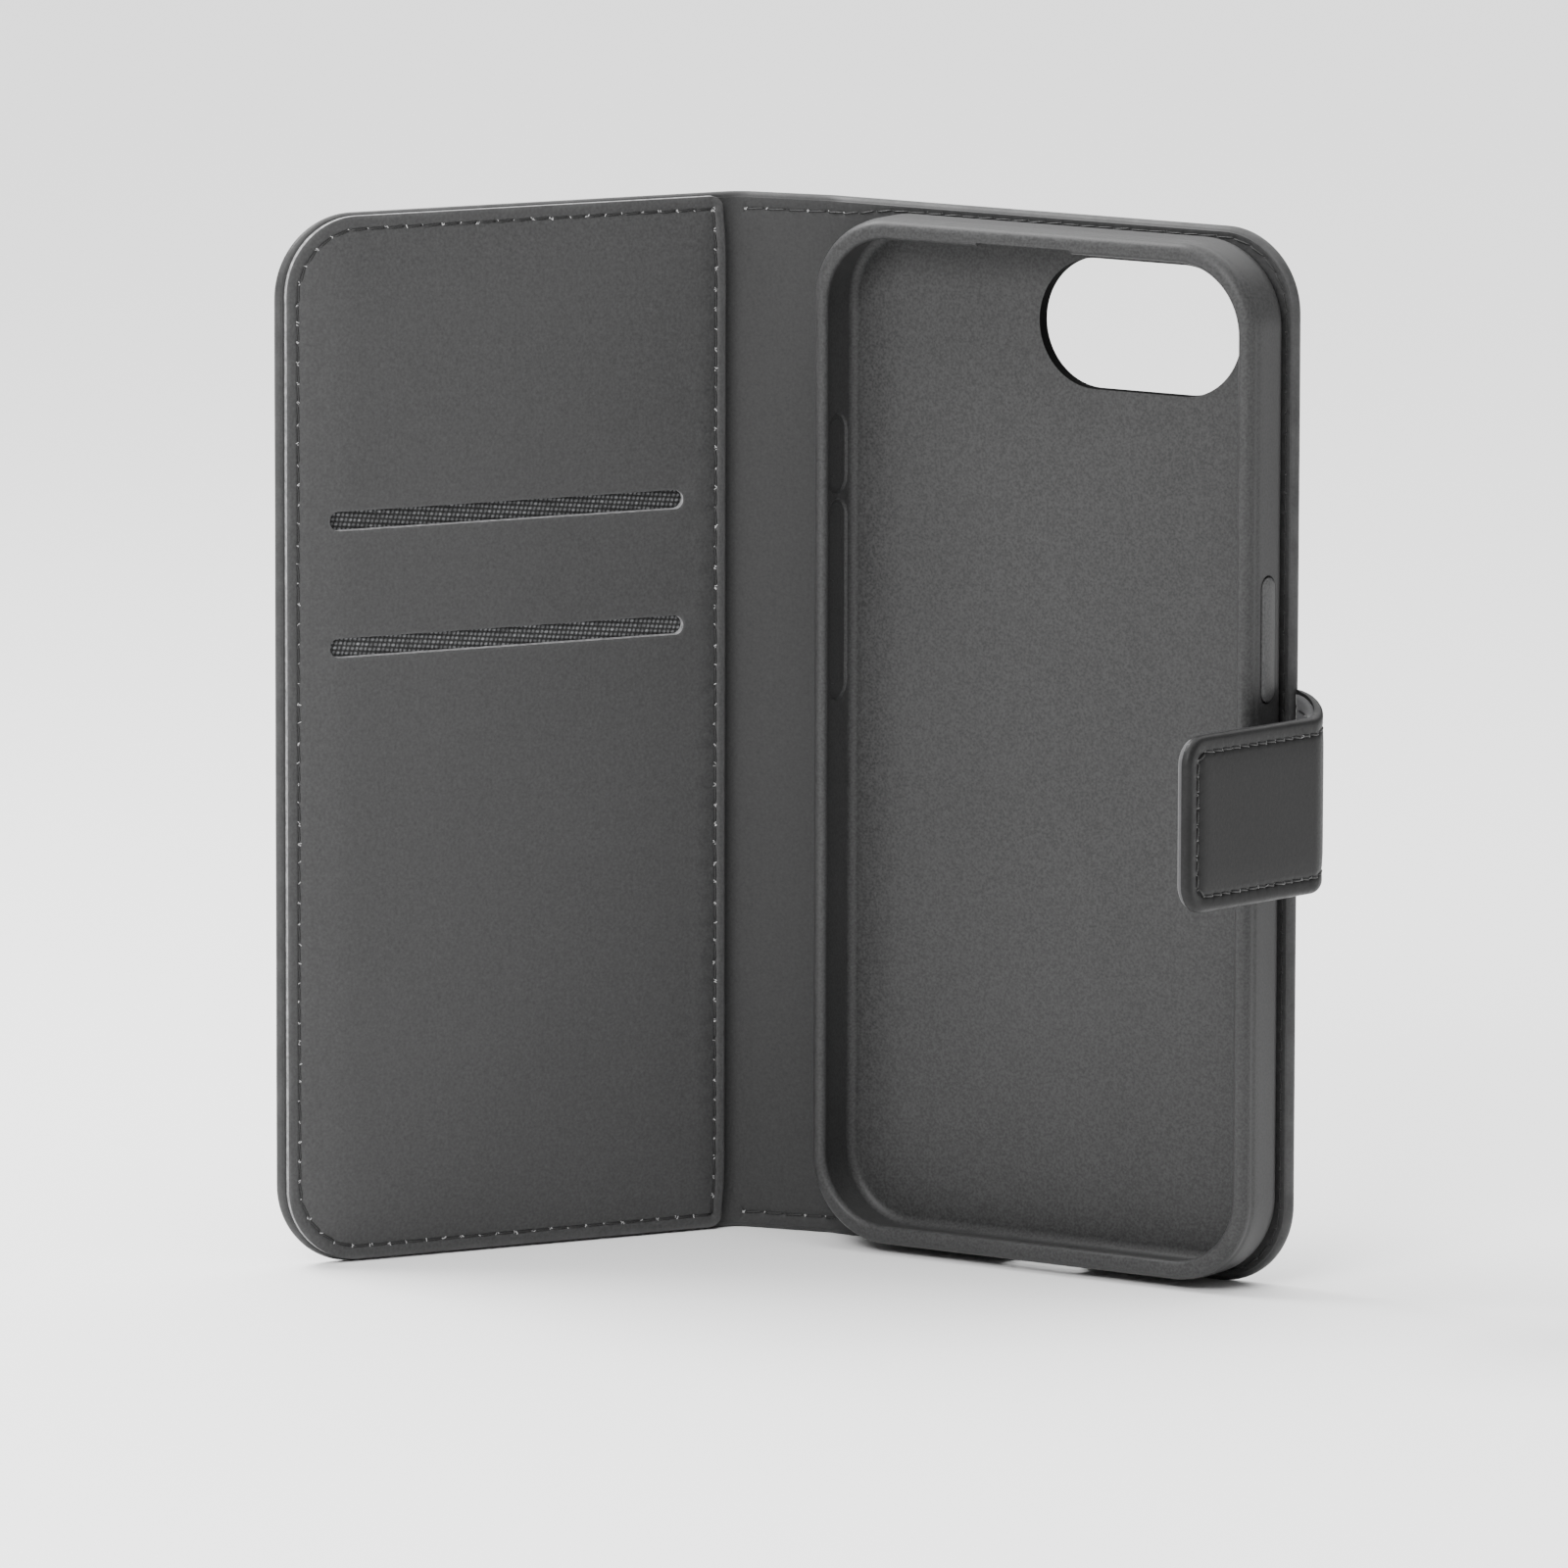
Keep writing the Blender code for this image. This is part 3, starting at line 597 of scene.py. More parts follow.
def leather(name, colour, rough=0.6, sheen=0.02, grain=1500.0, edge_wear_and_highlight=0.6, speck=0.22, gloss_level=0.26):
    """Fine-grained coated leather: pebble and pore relief, mottled tone, and edges painted paler: partly
    rubbed wear, partly painted highlight.
    """
    look = Look(name)
    pebble = look.pebbles(grain)
    pores = look.noise(grain * 2.1, 2.0, 0.6)
    mottle = look.noise(2600.0, 1.0)
    tone = look.maths("ADD", look.ramp(mottle, 0.25, 0.75, -speck, speck),
                      look.ramp(look.noise(30.0, 1.0), 0.3, 0.7, 0.97, 1.03))
    tone = look.maths("ADD", tone, look.ramp(pebble, 0.0, 0.8, 0.05, -0.07))
    patches = look.ramp(look.noise(260.0, 4.0), 0.35, 0.65, 0.3, 1.0)
    # Paler edges: partly rubbed wear, partly a painted highlight along the edges.
    rub_and_highlight = look.maths("MULTIPLY", look.attribute("edge_wear_and_highlight"), patches)
    look.colour(colour, look.maths("ADD", tone, look.maths("MULTIPLY", rub_and_highlight, edge_wear_and_highlight)))
    gloss = look.ramp(mottle, 0.3, 0.7, rough - 0.06, rough + 0.06)
    look.put(Roughness=look.maths("SUBTRACT", gloss, look.maths("MULTIPLY", rub_and_highlight, 0.1)),
             Specular_IOR_Level=gloss_level, Sheen_Weight=sheen, Sheen_Roughness=0.45)
    height = look.maths("ADD", look.maths("MULTIPLY", pebble, 0.6), look.maths("MULTIPLY", pores, 0.7))
    look.bump(height, 0.35, 0.045)
    return look.mat


def moulded(name, colour):
    """Moulded soft plastic with the fine spark-eroded texture of its tool."""
    look = Look(name)
    spark = look.noise(2800.0, 1.0)
    tone = look.maths("ADD", look.ramp(spark, 0.3, 0.7, -0.26, 0.26),
                      look.ramp(look.noise(40.0), 0.3, 0.7, 0.96, 1.04))
    look.colour(colour, tone)
    look.put(Roughness=look.ramp(spark, 0.3, 0.7, 0.4, 0.52), Specular_IOR_Level=0.18)
    look.bump(spark, 0.25, 0.02)
    return look.mat


def fibrous(name, colour, rough, scale, spread_by=0.4, metallic=0.0, relief=0.4, shine=0.4):
    """Raw edges, board, thread and other fibrous or brushed stuff."""
    look = Look(name)
    fibre = look.noise(scale, 4.0, 0.7)
    tone = look.maths("ADD", look.ramp(fibre, 0.25, 0.75, -spread_by, spread_by),
                      look.ramp(look.noise(scale * 0.08), 0.3, 0.7, 0.9, 1.1))
    look.colour(colour, tone)
    look.put(Roughness=look.ramp(fibre, 0.3, 0.7, rough - 0.08, rough + 0.08), Metallic=metallic,
             Specular_IOR_Level=shine)
    look.bump(fibre, relief, 0.05)
    return look.mat


def woven(name, colour):
    """Plain weave: the yarns' height comes with the mesh, and fibres run over each yarn. The tone follows
    that height: painted shade in the gaps between yarns, painted highlight on their crowns.
    """
    look = Look(name)
    fibre = look.noise(5200.0, 3.0, 0.7)
    # Painted shade and highlight: near black in the gaps between yarns, bright on their crowns.
    tone = look.maths("MULTIPLY", look.ramp(look.attribute("yarn"), 0.5, 1.0, 0.03, 2.6),
                      look.ramp(fibre, 0.3, 0.7, 0.4, 1.6))
    clump = look.ramp(look.noise(1100.0), 0.3, 0.7, 0.5, 1.7)
    look.colour(colour, look.maths("MULTIPLY", tone, clump))
    look.put(Roughness=look.ramp(fibre, 0.3, 0.7, 0.7, 0.95), Sheen_Weight=0.3)
    look.bump(fibre, 0.5, 0.05)
    return look.mat


MAT = {
    "outer": leather("outer leather", (0.026, 0.026, 0.0262)),
    "inner": leather("panel leather", (0.037, 0.037, 0.0373), 0.64),
    # Painted shade: the lining is a darker copy of the panel leather above, for the spine and back-cover
    # lining that lie in shade.
    "lining": leather("lining leather with painted shade", (0.026, 0.026, 0.0262), 0.66),
    # Painted shade: the strap's outer leather is a darker copy of the cover's outer leather, for a strap that
    # faces away from the light.
    "strap": leather("strap leather with painted shade", (0.009, 0.009, 0.0091), 0.5, gloss_level=0.14),
    "strap_lining": leather("strap lining microfibre", (0.055, 0.055, 0.0565), 0.85, 0.2, 2600.0, 0.1, 0.12),
    "cut_edge": fibrous("cut leather edge", (0.22, 0.22, 0.223), 0.7, 1300.0, 0.7),
    "thread": fibrous("dark sewing thread", (0.011, 0.011, 0.011), 0.5, 4200.0, 0.3),
    # Pale thread for the loops at the stitch holes: painted glints, bright, dim and faint.
    "glint_thread": fibrous("pale thread glint", (0.36, 0.36, 0.36), 0.5, 4200.0, 0.5),
    "soft_glint_thread": fibrous("dim pale thread glint", (0.12, 0.12, 0.12), 0.5, 4200.0, 0.5),
    "faint_glint_thread": fibrous("faint grey thread glint", (0.045, 0.045, 0.045), 0.6, 4200.0, 0.3),
    "shell": moulded("moulded shell", (0.034, 0.034, 0.0342)),
    "window": fibrous("black window edge", (0.0015, 0.0015, 0.0015), 0.95, 2500.0, shine=0.05),
    "button": moulded("button rubber", (0.055, 0.055, 0.0553)),
    "cloth": woven("woven pocket cloth", (0.05, 0.051, 0.0525)),
    "board": fibrous("grey board", (0.25, 0.24, 0.22), 0.9, 900.0, 0.25),
    "adhesive": fibrous("adhesive sheet", (0.3, 0.3, 0.3), 0.4, 600.0, 0.1),
    "magnet": fibrous("nickel plate", (0.6, 0.6, 0.6), 0.3, 2200.0, 0.08, 1.0, 0.1),
}


# Cover sheets.
FOLD_STATIONS = [HALF_SPINE + 0.5 * i for i in range(-12, 13)]
EDGE_RINGS = (0.0, 0.05, 0.14, 0.3, 0.52, 0.78, 1.05)
EDGE_BAND = 3.4
COLUMN_POINTS = 60
COVER_CROWN = 0.22
LINING_INSET = 0.5
LINING_EDGE = 0.55
CAMERA_HOLE_MARGIN = 1.4
CAMERA_HOLE_R = 10.89


def ring_line(outline, inset):
    points, normals = outline
    return points + normals * inset


def cut_line(line, start, sign):
    """The part of an open seam line beyond start from the middle of the spine."""
    kept = line[line[:, 0] * sign > start]
    ends = [np.array((sign * start, kept[0][1])), *kept, np.array((sign * start, kept[-1][1]))]
    return np.array(ends)


def eased_in(line, start, reach, inset, easing_to):
    """Moves the seam's ends away from the edge, so that it runs on from the spine's rows."""
    moved = line.copy()
    share = 1 - smooth(np.abs(line[:, 0]), start, start + reach)
    moved[:, 1] += np.where(line[:, 1] < HEIGHT / 2, 1, -1) * (easing_to - inset) * share
    return moved


def column(x, heights):
    return np.column_stack([np.full(len(heights), x), heights])


def full_column(low, inner, high):
    """Heights from edge to edge, closer together near the edges."""
    return np.r_[np.linspace(low, inner[0], 9), inner[1:-1], np.linspace(inner[-1], high, 9)]


def half_cover(end, sign, edge_half, seam, holes=()):
    """Outline, flat mesh and seams of one half of the cover, from the middle of the spine."""
    outline = open_outline(0.0, end, 0.0, HEIGHT, CORNER_R, FOLD_STATIONS, sign=sign)
    row_end = np.min(np.abs(seam[:, 0])) if sign > 0 else HALF_SPINE - 1.5
    rows = [np.array([(0.0, z), (sign * row_end, z)]) for z in (SPINE_ROW, HEIGHT - SPINE_ROW)]
    lines = [(ring_line(outline, i), False) for i in EDGE_RINGS]
    lines += seam_lines(seam)
    for row in rows:
        lines += seam_lines(row, ROW_OFFSETS)
    inner_z = np.linspace(EDGE_BAND, HEIGHT - EDGE_BAND, COLUMN_POINTS)
    lines += [(column(sign * t, inner_z), False) for t in FOLD_STATIONS]
    lines.append((column(0.0, full_column(0.0, inner_z, HEIGHT)), False))
    hole_edges = []
    for hole in holes:
        lines += [(ring_line(hole, -i), True) for i in EDGE_RINGS]
        hole_edges.append(hole[0])
    flat = flat_mesh(outline[0], lines, hole_edges)
    return {"outline": outline[0], "flat": flat, "seam": seam, "rows": rows, "holes": hole_edges,
            "half": edge_half, "sign": sign}


def edge_gap(sheet, points):
    """Distance to the sheet's free edge or to its holes."""
    gap = distance(points, sheet["outline"])
    for line in sheet["holes"]:
        gap = np.minimum(gap, distance(points, line, True))
    return gap


def across_fold(points, spine, cover_side):
    return spine + (cover_side - spine) * smooth(np.abs(points[:, 0]), HALF_SPINE - 2.0, HALF_SPINE + 2.0)


def all_sunk(sheet, points, pull=(0.12, 0.26, 0.2)):
    return np.maximum(sunk(points, [sheet["seam"]], *pull), sunk(points, sheet["rows"], 0.1, 0.28, 0.2))


def skin_depth(sheet):
    """Outer face of the outer leather: rolled edges, a sewn-down margin and a slight crown."""
    def depth(points):
        gap = edge_gap(sheet, points)
        half = across_fold(points, EDGE_HALF_SPINE, sheet["half"])
        rise = COVER_CROWN * smooth(gap, 1.6, 5.2)
        return round_over(gap, half) - rise + all_sunk(sheet, points) - gentle(points, 0.03)
    return depth


def build_skin(name, sheet, cover_side):
    """Outer leather, as thick as the whole edge where it is turned over, and one layer inside that."""
    points = sheet["flat"][0]
    gap = edge_gap(sheet, points)
    half = across_fold(points, EDGE_HALF_SPINE, sheet["half"])
    outer = skin_depth(sheet)(points)
    turned = 2 * half - round_over(gap, half)
    inner = across_fold(points, SKIN_SPINE, cover_side)
    inner = inner + (turned - inner) * (1 - smooth(gap, TURNED, TURNED + 0.3))
    closed = gap < TOUCHING
    inner = np.where(closed, half, np.maximum(inner, outer + 0.08))
    outer = np.where(closed, half, outer)
    # Edges painted paler: partly rubbed wear, partly painted highlight.
    return sheet_piece(name, sheet["flat"], outer, inner, cover, [MAT["outer"]], 0,
                       np.exp(-(gap / 0.8) ** 2))


def lining_depth(sheet, cover_side):
    """Inner face of the lining, which ends on the turned edge of the outer leather."""
    def depth(points):
        gap = edge_gap(sheet, points) - LINING_EDGE
        base = across_fold(points, LINING_SPINE[1], cover_side[1]) + 0.06
        return base - round_over(gap, 0.3) - all_sunk(sheet, points, sheet["pull"]) + gentle(points, 0.02)
    return depth


def lining_flat(sheet):
    """The sheet's flat mesh less the strip next to its free edges and holes."""
    points, tris = sheet["flat"]
    gap = edge_gap(sheet, points)
    return compact(points, tris[(gap[tris] > LINING_INSET).all(1)])


def build_lining(name, sheet, cover_side):
    flat = lining_flat(sheet)
    points = flat[0]
    gap = edge_gap(sheet, points) - LINING_EDGE
    inner = lining_depth(sheet, cover_side)(points)
    over = 2 * across_fold(points, EDGE_HALF_SPINE, sheet["half"]) + 0.01 - inner
    outer = across_fold(points, LINING_SPINE[0], cover_side[0])
    outer = np.minimum(np.where(gap < TURNED + 0.2, inner + np.maximum(over, -0.4), outer), inner - 0.06)
    # Edges painted paler: partly rubbed wear, partly painted highlight.
    return sheet_piece(name, flat, outer, inner, cover, [MAT["lining"]], 0,
                       0.5 * np.exp(-(gap / 0.4) ** 2))


def fold_blend(obj):
    """Bakes a piece's transform into its mesh."""
    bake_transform(obj)


def build_half(label, sheet, lining_name, skin_layer, lining_layer):
    """Leather and lining of one half of the cover, and the depths of its inner and outer face."""
    skin = build_skin("%s_outer_leather" % label, sheet, skin_layer)
    lining = build_lining(lining_name, sheet, lining_layer)
    faces = (lining_depth(sheet, lining_layer), skin_depth(sheet))
    finish_piece(skin, "outer_leather", "%s_cover_outer_skin" % label, "spine_outer_skin")
    finish_piece(lining, "inner_leather", "%s_cover_lining" % label, "spine_lining")
    return [skin, lining], faces


def build_back_cover():
    x0, x1 = (x + HALF_SPINE for x in WINDOW_X)
    z0, z1 = WINDOW_Z
    margin, radius = CAMERA_HOLE_MARGIN, CAMERA_HOLE_R
    hole = loop_of(x0 - margin, x1 + margin, z0 - margin, z1 + margin, radius, radius, 0.9, 28)
    outline = open_outline(0.0, BACK_END, 0.0, HEIGHT, CORNER_R)
    start = HALF_SPINE + 1.2
    seam = cut_line(ring_line(outline, BACK_SEAM), start, 1)
    seam = eased_in(seam, start, 9.0, BACK_SEAM, SPINE_ROW)
    sheet = half_cover(BACK_END, 1, EDGE_HALF_BACK, seam, [hole])
    sheet["pull"] = (0.05, 0.26, 0.12)
    pieces, faces = build_half("back", sheet, "back_lining_leather", SKIN_BACK, LINING_BACK)
    threads = [thread_piece("back_lining_stitches", cover, [(seam, faces[0], 1, 0.12)], 3, "faint_glint_thread"),
               thread_piece("back_cover_stitches", cover, [(seam, faces[1], -1, THREAD_R)], 4)]
    for thread in threads:
        finish_piece(thread, "thread", "back_cover_thread")
    for piece in pieces + threads + build_spine_rows(sheet, faces, "back", 5):
        fold_blend(piece)


def build_spine_rows(sheet, faces, label, seed):
    pieces = []
    for name, row in zip(("lower", "upper"), sheet["rows"]):
        piece = thread_piece("spine_%s_stitches_%s_half" % (name, label), cover,
                             [(row, faces[0], 1, THREAD_R), (row, faces[1], -1, THREAD_R)], seed)
        finish_piece(piece, "thread", "spine_%s_thread" % name)
        pieces.append(piece)
    return pieces


def finish_piece(piece, slot, *replaced, body=None):
    """Hides the CAD nodes a piece stands for and, for a rigid piece, attaches it to the body it rides. The
    slot argument is not used.
    """
    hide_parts(*replaced)
    if body:
        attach(piece, body)


def build_front_cover():
    outline = open_outline(0.0, FRONT_END - PANEL_SEAM_SHIFT, 0.0, HEIGHT, CORNER_R, sign=-1)
    seam = cut_line(ring_line(outline, PANEL_SEAM), HALF_SPINE + PANEL_FOLD_SEAM, -1)
    sheet = half_cover(FRONT_END, -1, EDGE_HALF_FRONT, seam)
    sheet["pull"] = (0.14, 0.3, 0.2)
    pieces, faces = build_half("front", sheet, "cash_pocket_lining", SKIN_SPINE, LINING_FRONT)
    for piece in pieces + build_spine_rows(sheet, faces, "front", 7):
        fold_blend(piece)
    build_card_panel(seam, faces[1])


def panel_coordinates(points):
    """(u, z) of flat cover points on the front cover."""
    return -points[:, 0] - HALF_SPINE, points[:, 1]


def panel_slots():
    t0, t1, half = -(HALF_SPINE + SLOT_U[1]), -(HALF_SPINE + SLOT_U[0]), SLOT_H / 2
    return [loop_of(t0, t1, z - half, z + half, half - 0.01, half - 0.01, 0.7, 14) for z in SLOT_Z]


def panel_depths(outline, slots, seams):
    """Depth functions of the card panel's hidden face and of its shown face."""
    sewn_edge = open_outline(HALF_SPINE - 20.0, HALF_SPINE + PANEL_U[1], *PANEL_Z, PANEL_R, sign=-1)[0]

    def hidden(points):
        return PANEL_DEPTH + PANEL_CROWN * smooth(distance(points, sewn_edge), 1.0, 9.0)

    def face(points):
        u, z = panel_coordinates(points)
        edge = distance(points, outline, True)
        fold_edge = u - PANEL_U[0]
        depth = hidden(points) + PANEL_THICK + 0.12 * smooth(edge, 3.0, 12.0)
        depth += 0.12 * smooth(fold_edge, 1.9, 0.9)
        depth -= round_over(np.where(fold_edge < TURNED_FOLD, fold_edge, 9.0), 0.45) + round_over(edge, 0.12)
        for slot, slot_z in zip(slots, SLOT_Z):
            gap = distance(points, slot[0], True)
            lift = np.where(z > slot_z, ABOVE_SLOT, BELOW_SLOT) * smooth(np.abs(z - slot_z), 0.2, 1.2)
            depth += lift * np.exp(-(gap / 1.3) ** 2) - round_over(gap, 0.12)
        return depth - sunk(points, seams, 0.2, 0.26, 0.22) + gentle(points, 0.025)
    return hidden, face


def build_card_panel(seam, skin_face):
    t0, t1 = -(HALF_SPINE + PANEL_U[1]), -(HALF_SPINE + PANEL_U[0])
    outline = loop_of(t0, t1, *PANEL_Z, PANEL_R, 2.2, 1.3)
    slots = panel_slots()
    fold_seam = np.array([(-(HALF_SPINE + PANEL_FOLD_SEAM), z) for z in (PANEL_SEAM, HEIGHT - PANEL_SEAM)])
    lines = [(ring_line(outline, i), True) for i in PANEL_RINGS]
    lines += seam_lines(seam) + seam_lines(fold_seam)
    for slot in slots:
        lines += [(ring_line(slot, -i), True) for i in SLOT_RINGS]
    flat = flat_mesh(outline[0], lines, [s[0] for s in slots], 2.2)
    hidden, face = panel_depths(outline[0], slots, [seam, fold_seam])
    points = flat[0]
    fold_edge = panel_coordinates(points)[0] - PANEL_U[0]
    behind = hidden(points) + round_over(np.where(fold_edge < TURNED_FOLD, fold_edge, 9.0), 0.4)
    shown = np.maximum(face(points), behind + 0.2)
    # Panel and slot edges painted paler: partly rubbed wear, partly painted highlight.
    edge_wear_and_highlight = np.exp(-(distance(points, outline[0], True) / 0.5) ** 2)
    leaning = points.copy()
    for slot, slot_z in zip(slots, SLOT_Z):
        gap = distance(points, slot[0], True)
        edge_wear_and_highlight = np.maximum(edge_wear_and_highlight, 0.6 * np.exp(-(gap / 0.25) ** 2))
        below = (gap < 1e-4) & (points[:, 1] < slot_z)
        leaning[:, 1] += np.where(below, np.minimum(0.1, slot_z - points[:, 1]), 0.0)
    panel = sheet_piece("card_panel_leather", (leaning, flat[1]), behind, shown, cover,
                        [MAT["inner"], MAT["cut_edge"]], 1, edge_wear_and_highlight, inner_points=points)
    finish_piece(panel, "inner_leather", "card_panel", body="front_cover")
    rows = [(seam, face, 1, THREAD_R), (seam, skin_face, -1, THREAD_R)]
    thread = thread_piece("front_cover_stitches", cover, rows, 11)
    finish_piece(thread, "thread", "front_cover_thread", body="front_cover")
    fold_thread = thread_piece("card_panel_fold_stitches", cover, [(fold_seam, face, 1, THREAD_R)], 13)
    finish_piece(fold_thread, "thread", "card_panel_edge_thread", body="front_cover")


# Card pockets: the cloth reaches past the slot's ends, and has yarns within a band of the slot's middle.
POCKET_SIDE = 3.5
YARN_BAND = 2.4
YARN_RELIEF = 0.34
WEAVE_PITCH = 0.72


def weave_height(u, z):
    """Plain weave of round yarns: 0 in the gaps to 1 on a yarn's crown."""
    a, b = (u + 0.3 * z) / WEAVE_PITCH, (z - 0.1 * u) / WEAVE_PITCH
    along_a, along_b = np.abs(np.sin(math.pi * a)), np.abs(np.sin(math.pi * b))
    over = np.cos(math.pi * (np.floor(a) + np.floor(b)))
    warp = along_a ** 0.7 * (0.45 + 0.45 * over * along_b)
    weft = along_b ** 0.7 * (0.5 - 0.5 * over * along_a)
    return np.maximum(warp, weft)


def spaced(start, fine_start, fine_end, end, coarse_low):
    """Positions at a fifth of the weave's pitch between fine_start and fine_end, and sparse outside."""
    step = WEAVE_PITCH / 5
    return np.r_[np.linspace(start, fine_start, coarse_low)[:-1], np.arange(fine_start, fine_end, step),
                 np.linspace(fine_end + 0.1, end, 5)]


def grid_sheet(nu, nz):
    """Faces of a closed sheet of two nu by nz grids."""
    count = nu * nz
    faces = []
    for k in range(nz - 1):
        for i in range(nu - 1):
            a = k * nu + i
            quad = (a, a + 1, a + nu + 1, a + nu)
            faces.append(quad)
            faces.append(tuple(q + count for q in reversed(quad)))
    low, high = [(i, i + 1) for i in range(nu - 1)], [(k * nu, k * nu + nu) for k in range(nz - 1)]
    rim = low + [(a + nu - 1, b + nu - 1) for a, b in high]
    rim += [(count - 1 - a, count - 1 - b) for a, b in low] + [(b, a) for a, b in high]
    return faces + [(b, a, a + count, b + count) for a, b in rim]


def build_pocket(name, node, depth, slot_z, z_range):
    """Woven pocket cloth, with real yarns where a slot shows it."""
    u0, u1 = SLOT_U[0] - POCKET_SIDE, SLOT_U[1] + POCKET_SIDE
    us = spaced(u0, SLOT_U[0] - 1.0, SLOT_U[1] + 1.0, u1, 5)
    zs = spaced(z_range[0], slot_z - YARN_BAND, slot_z + YARN_BAND, z_range[1], 22)
    uu, zz = (grid.ravel() for grid in np.meshgrid(us, zs))
    shown = smooth(np.abs(zz - slot_z), YARN_BAND, YARN_BAND - 0.5)
    yarn = weave_height(uu, zz)
    flat = np.column_stack([-(HALF_SPINE + uu), zz])
    front = depth[1] + shown * (yarn - 0.9) * YARN_RELIEF
    verts = np.concatenate([cover(flat, front), cover(flat, depth[0])])
    piece = make_object(name, verts, grid_sheet(len(us), len(zs)), [MAT["cloth"]], None, ALL_SMOOTH)
    # The yarn height also colours the cloth: painted shade in the gaps, painted highlight on the crowns.
    float_attribute(piece, "yarn", np.concatenate([yarn, yarn]))
    finish_piece(piece, "pocket_cloth", node, body="front_cover")


# Phone shell. A step is an inset from the outer wall and a distance from the rim's front.
SHELL_FLOOR = 1.0
BACK_EDGE = (1.9, 2.6)
RIM_STEP = ((0.06, 2.45), (0.14, 2.1), (0.17, 1.8))
RIM_EDGE = (0.16, 1.44, 1.6)
LIP_R = 0.85
UNDER_LIP = ((2.45, 1.0), (2.25, 1.22), (1.9, 1.4), (1.55, 1.52), (1.45, 1.62))
FLOOR_R = 1.2
END_LENGTHENING = 0.6


def shell_profile():
    """(inset from the side wall, y) from the outside back edge over the rim and lip to the floor."""
    back, rim = SHELL_HIGH[1], SHELL_LOW[1]
    floor = back - SHELL_FLOOR
    wall, under = UNDER_LIP[-1]
    quarter = [math.pi / 2 * i / 8 for i in range(9)]
    points = [(BACK_EDGE[0] * (1 - math.sin(a)), back - BACK_EDGE[1] * (1 - math.cos(a))) for a in quarter]
    points += [(0.0, back - BACK_EDGE[1] - (back - rim - 5.4) * i / 4) for i in range(1, 5)]
    points += [(inset, rim + y) for inset, y in RIM_STEP]
    ledge, run, drop = RIM_EDGE
    points += [(ledge + run * (1 - math.cos(a)), rim + drop * (1 - math.sin(a))) for a in quarter]
    points += [(ledge + run + LIP_R * math.sin(a), rim + LIP_R * (1 - math.cos(a))) for a in quarter[1:]]
    points += [(inset, rim + y) for inset, y in UNDER_LIP]
    points += [(wall, rim + under + (floor - FLOOR_R - rim - under) * i / 3) for i in range(1, 4)]
    points += [(wall + FLOOR_R * (1 - math.cos(a)), floor - FLOOR_R * (1 - math.sin(a))) for a in quarter[1:]]
    return points


def round_rect(x0, x1, z0, z1, r, steps):
    """Closed outline with round corners and the same count of points whatever its size."""
    centres = ((x1 - r, z0 + r), (x1 - r, z1 - r), (x0 + r, z1 - r), (x0 + r, z0 + r))
    points = []
    for k, (x, z) in enumerate(centres):
        for i in range(steps + 1):
            a = math.radians(90 * k - 90 + 90 * i / steps)
            points.append((x + r * math.cos(a), z + r * math.sin(a)))
    return np.array(points)


def at_y(points, y):
    return np.column_stack([points[:, 0], np.full(len(points), y), points[:, 1]])


def shell_section(inset, y):
    """Outline of the shell at an inset. The rim is a little longer than the CAD's at its two ends."""
    low, high = SHELL_LOW + inset, SHELL_HIGH - inset
    longer = END_LENGTHENING * (1 - smooth(inset, 0.3, 2.45))
    return at_y(round_rect(low[0], high[0], low[2] - longer, high[2] + longer, SHELL_R - inset, 24), y)


def lofted(name, sections, materials):
    """Closed mesh through outlines that have the same count of points."""
    count = len(sections[0])
    faces = []
    for k in range(len(sections) - 1):
        for i in range(count):
            j = (i + 1) % count
            faces.append((k * count + i, k * count + j, (k + 1) * count + j, (k + 1) * count + i))
    faces.append(tuple(range(count)))
    faces.append(tuple((len(sections) - 1) * count + i for i in range(count)))
    return make_object(name, np.concatenate(sections), faces, materials, None, ALL_SMOOTH)


def window_loop(y, grow):
    """The camera window's outline, grown by a distance."""
    x0, x1 = (x + FOLD_A[0] for x in WINDOW_X)
    r = (WINDOW_Z[1] - WINDOW_Z[0]) / 2 + grow - 0.004
    return at_y(round_rect(x0 - grow, x1 + grow, WINDOW_Z[0] - grow, WINDOW_Z[1] + grow, r, 28), y)


def wall_loop(x, y, z, width, length, grow):
    """Outline with round ends in the plane of a side wall at x."""
    w, h = width / 2 + grow, length / 2 + grow
    points = round_rect(y - w, y + w, z - h, z + h, w - 0.004, 12)
    return np.column_stack([np.full(len(points), x), points])


def cut(target, cutters, added):
    """Adds one closed mesh, subtracts closed cutters and keeps the result as the mesh."""
    for cutter in (added, *cutters):
        mod = target.modifiers.new("cut", "BOOLEAN")
        mod.operation = "UNION" if cutter == added else "DIFFERENCE"
        mod.solver = "EXACT"
        mod.object = cutter
        mod.material_mode = "TRANSFER"
    graph = bpy.context.evaluated_depsgraph_get()
    mesh = bpy.data.meshes.new_from_object(target.evaluated_get(graph))
    target.modifiers.clear()
    old = target.data
    target.data = mesh
    bpy.data.meshes.remove(old)
    for cutter in (added, *cutters):
        bpy.data.objects.remove(cutter)


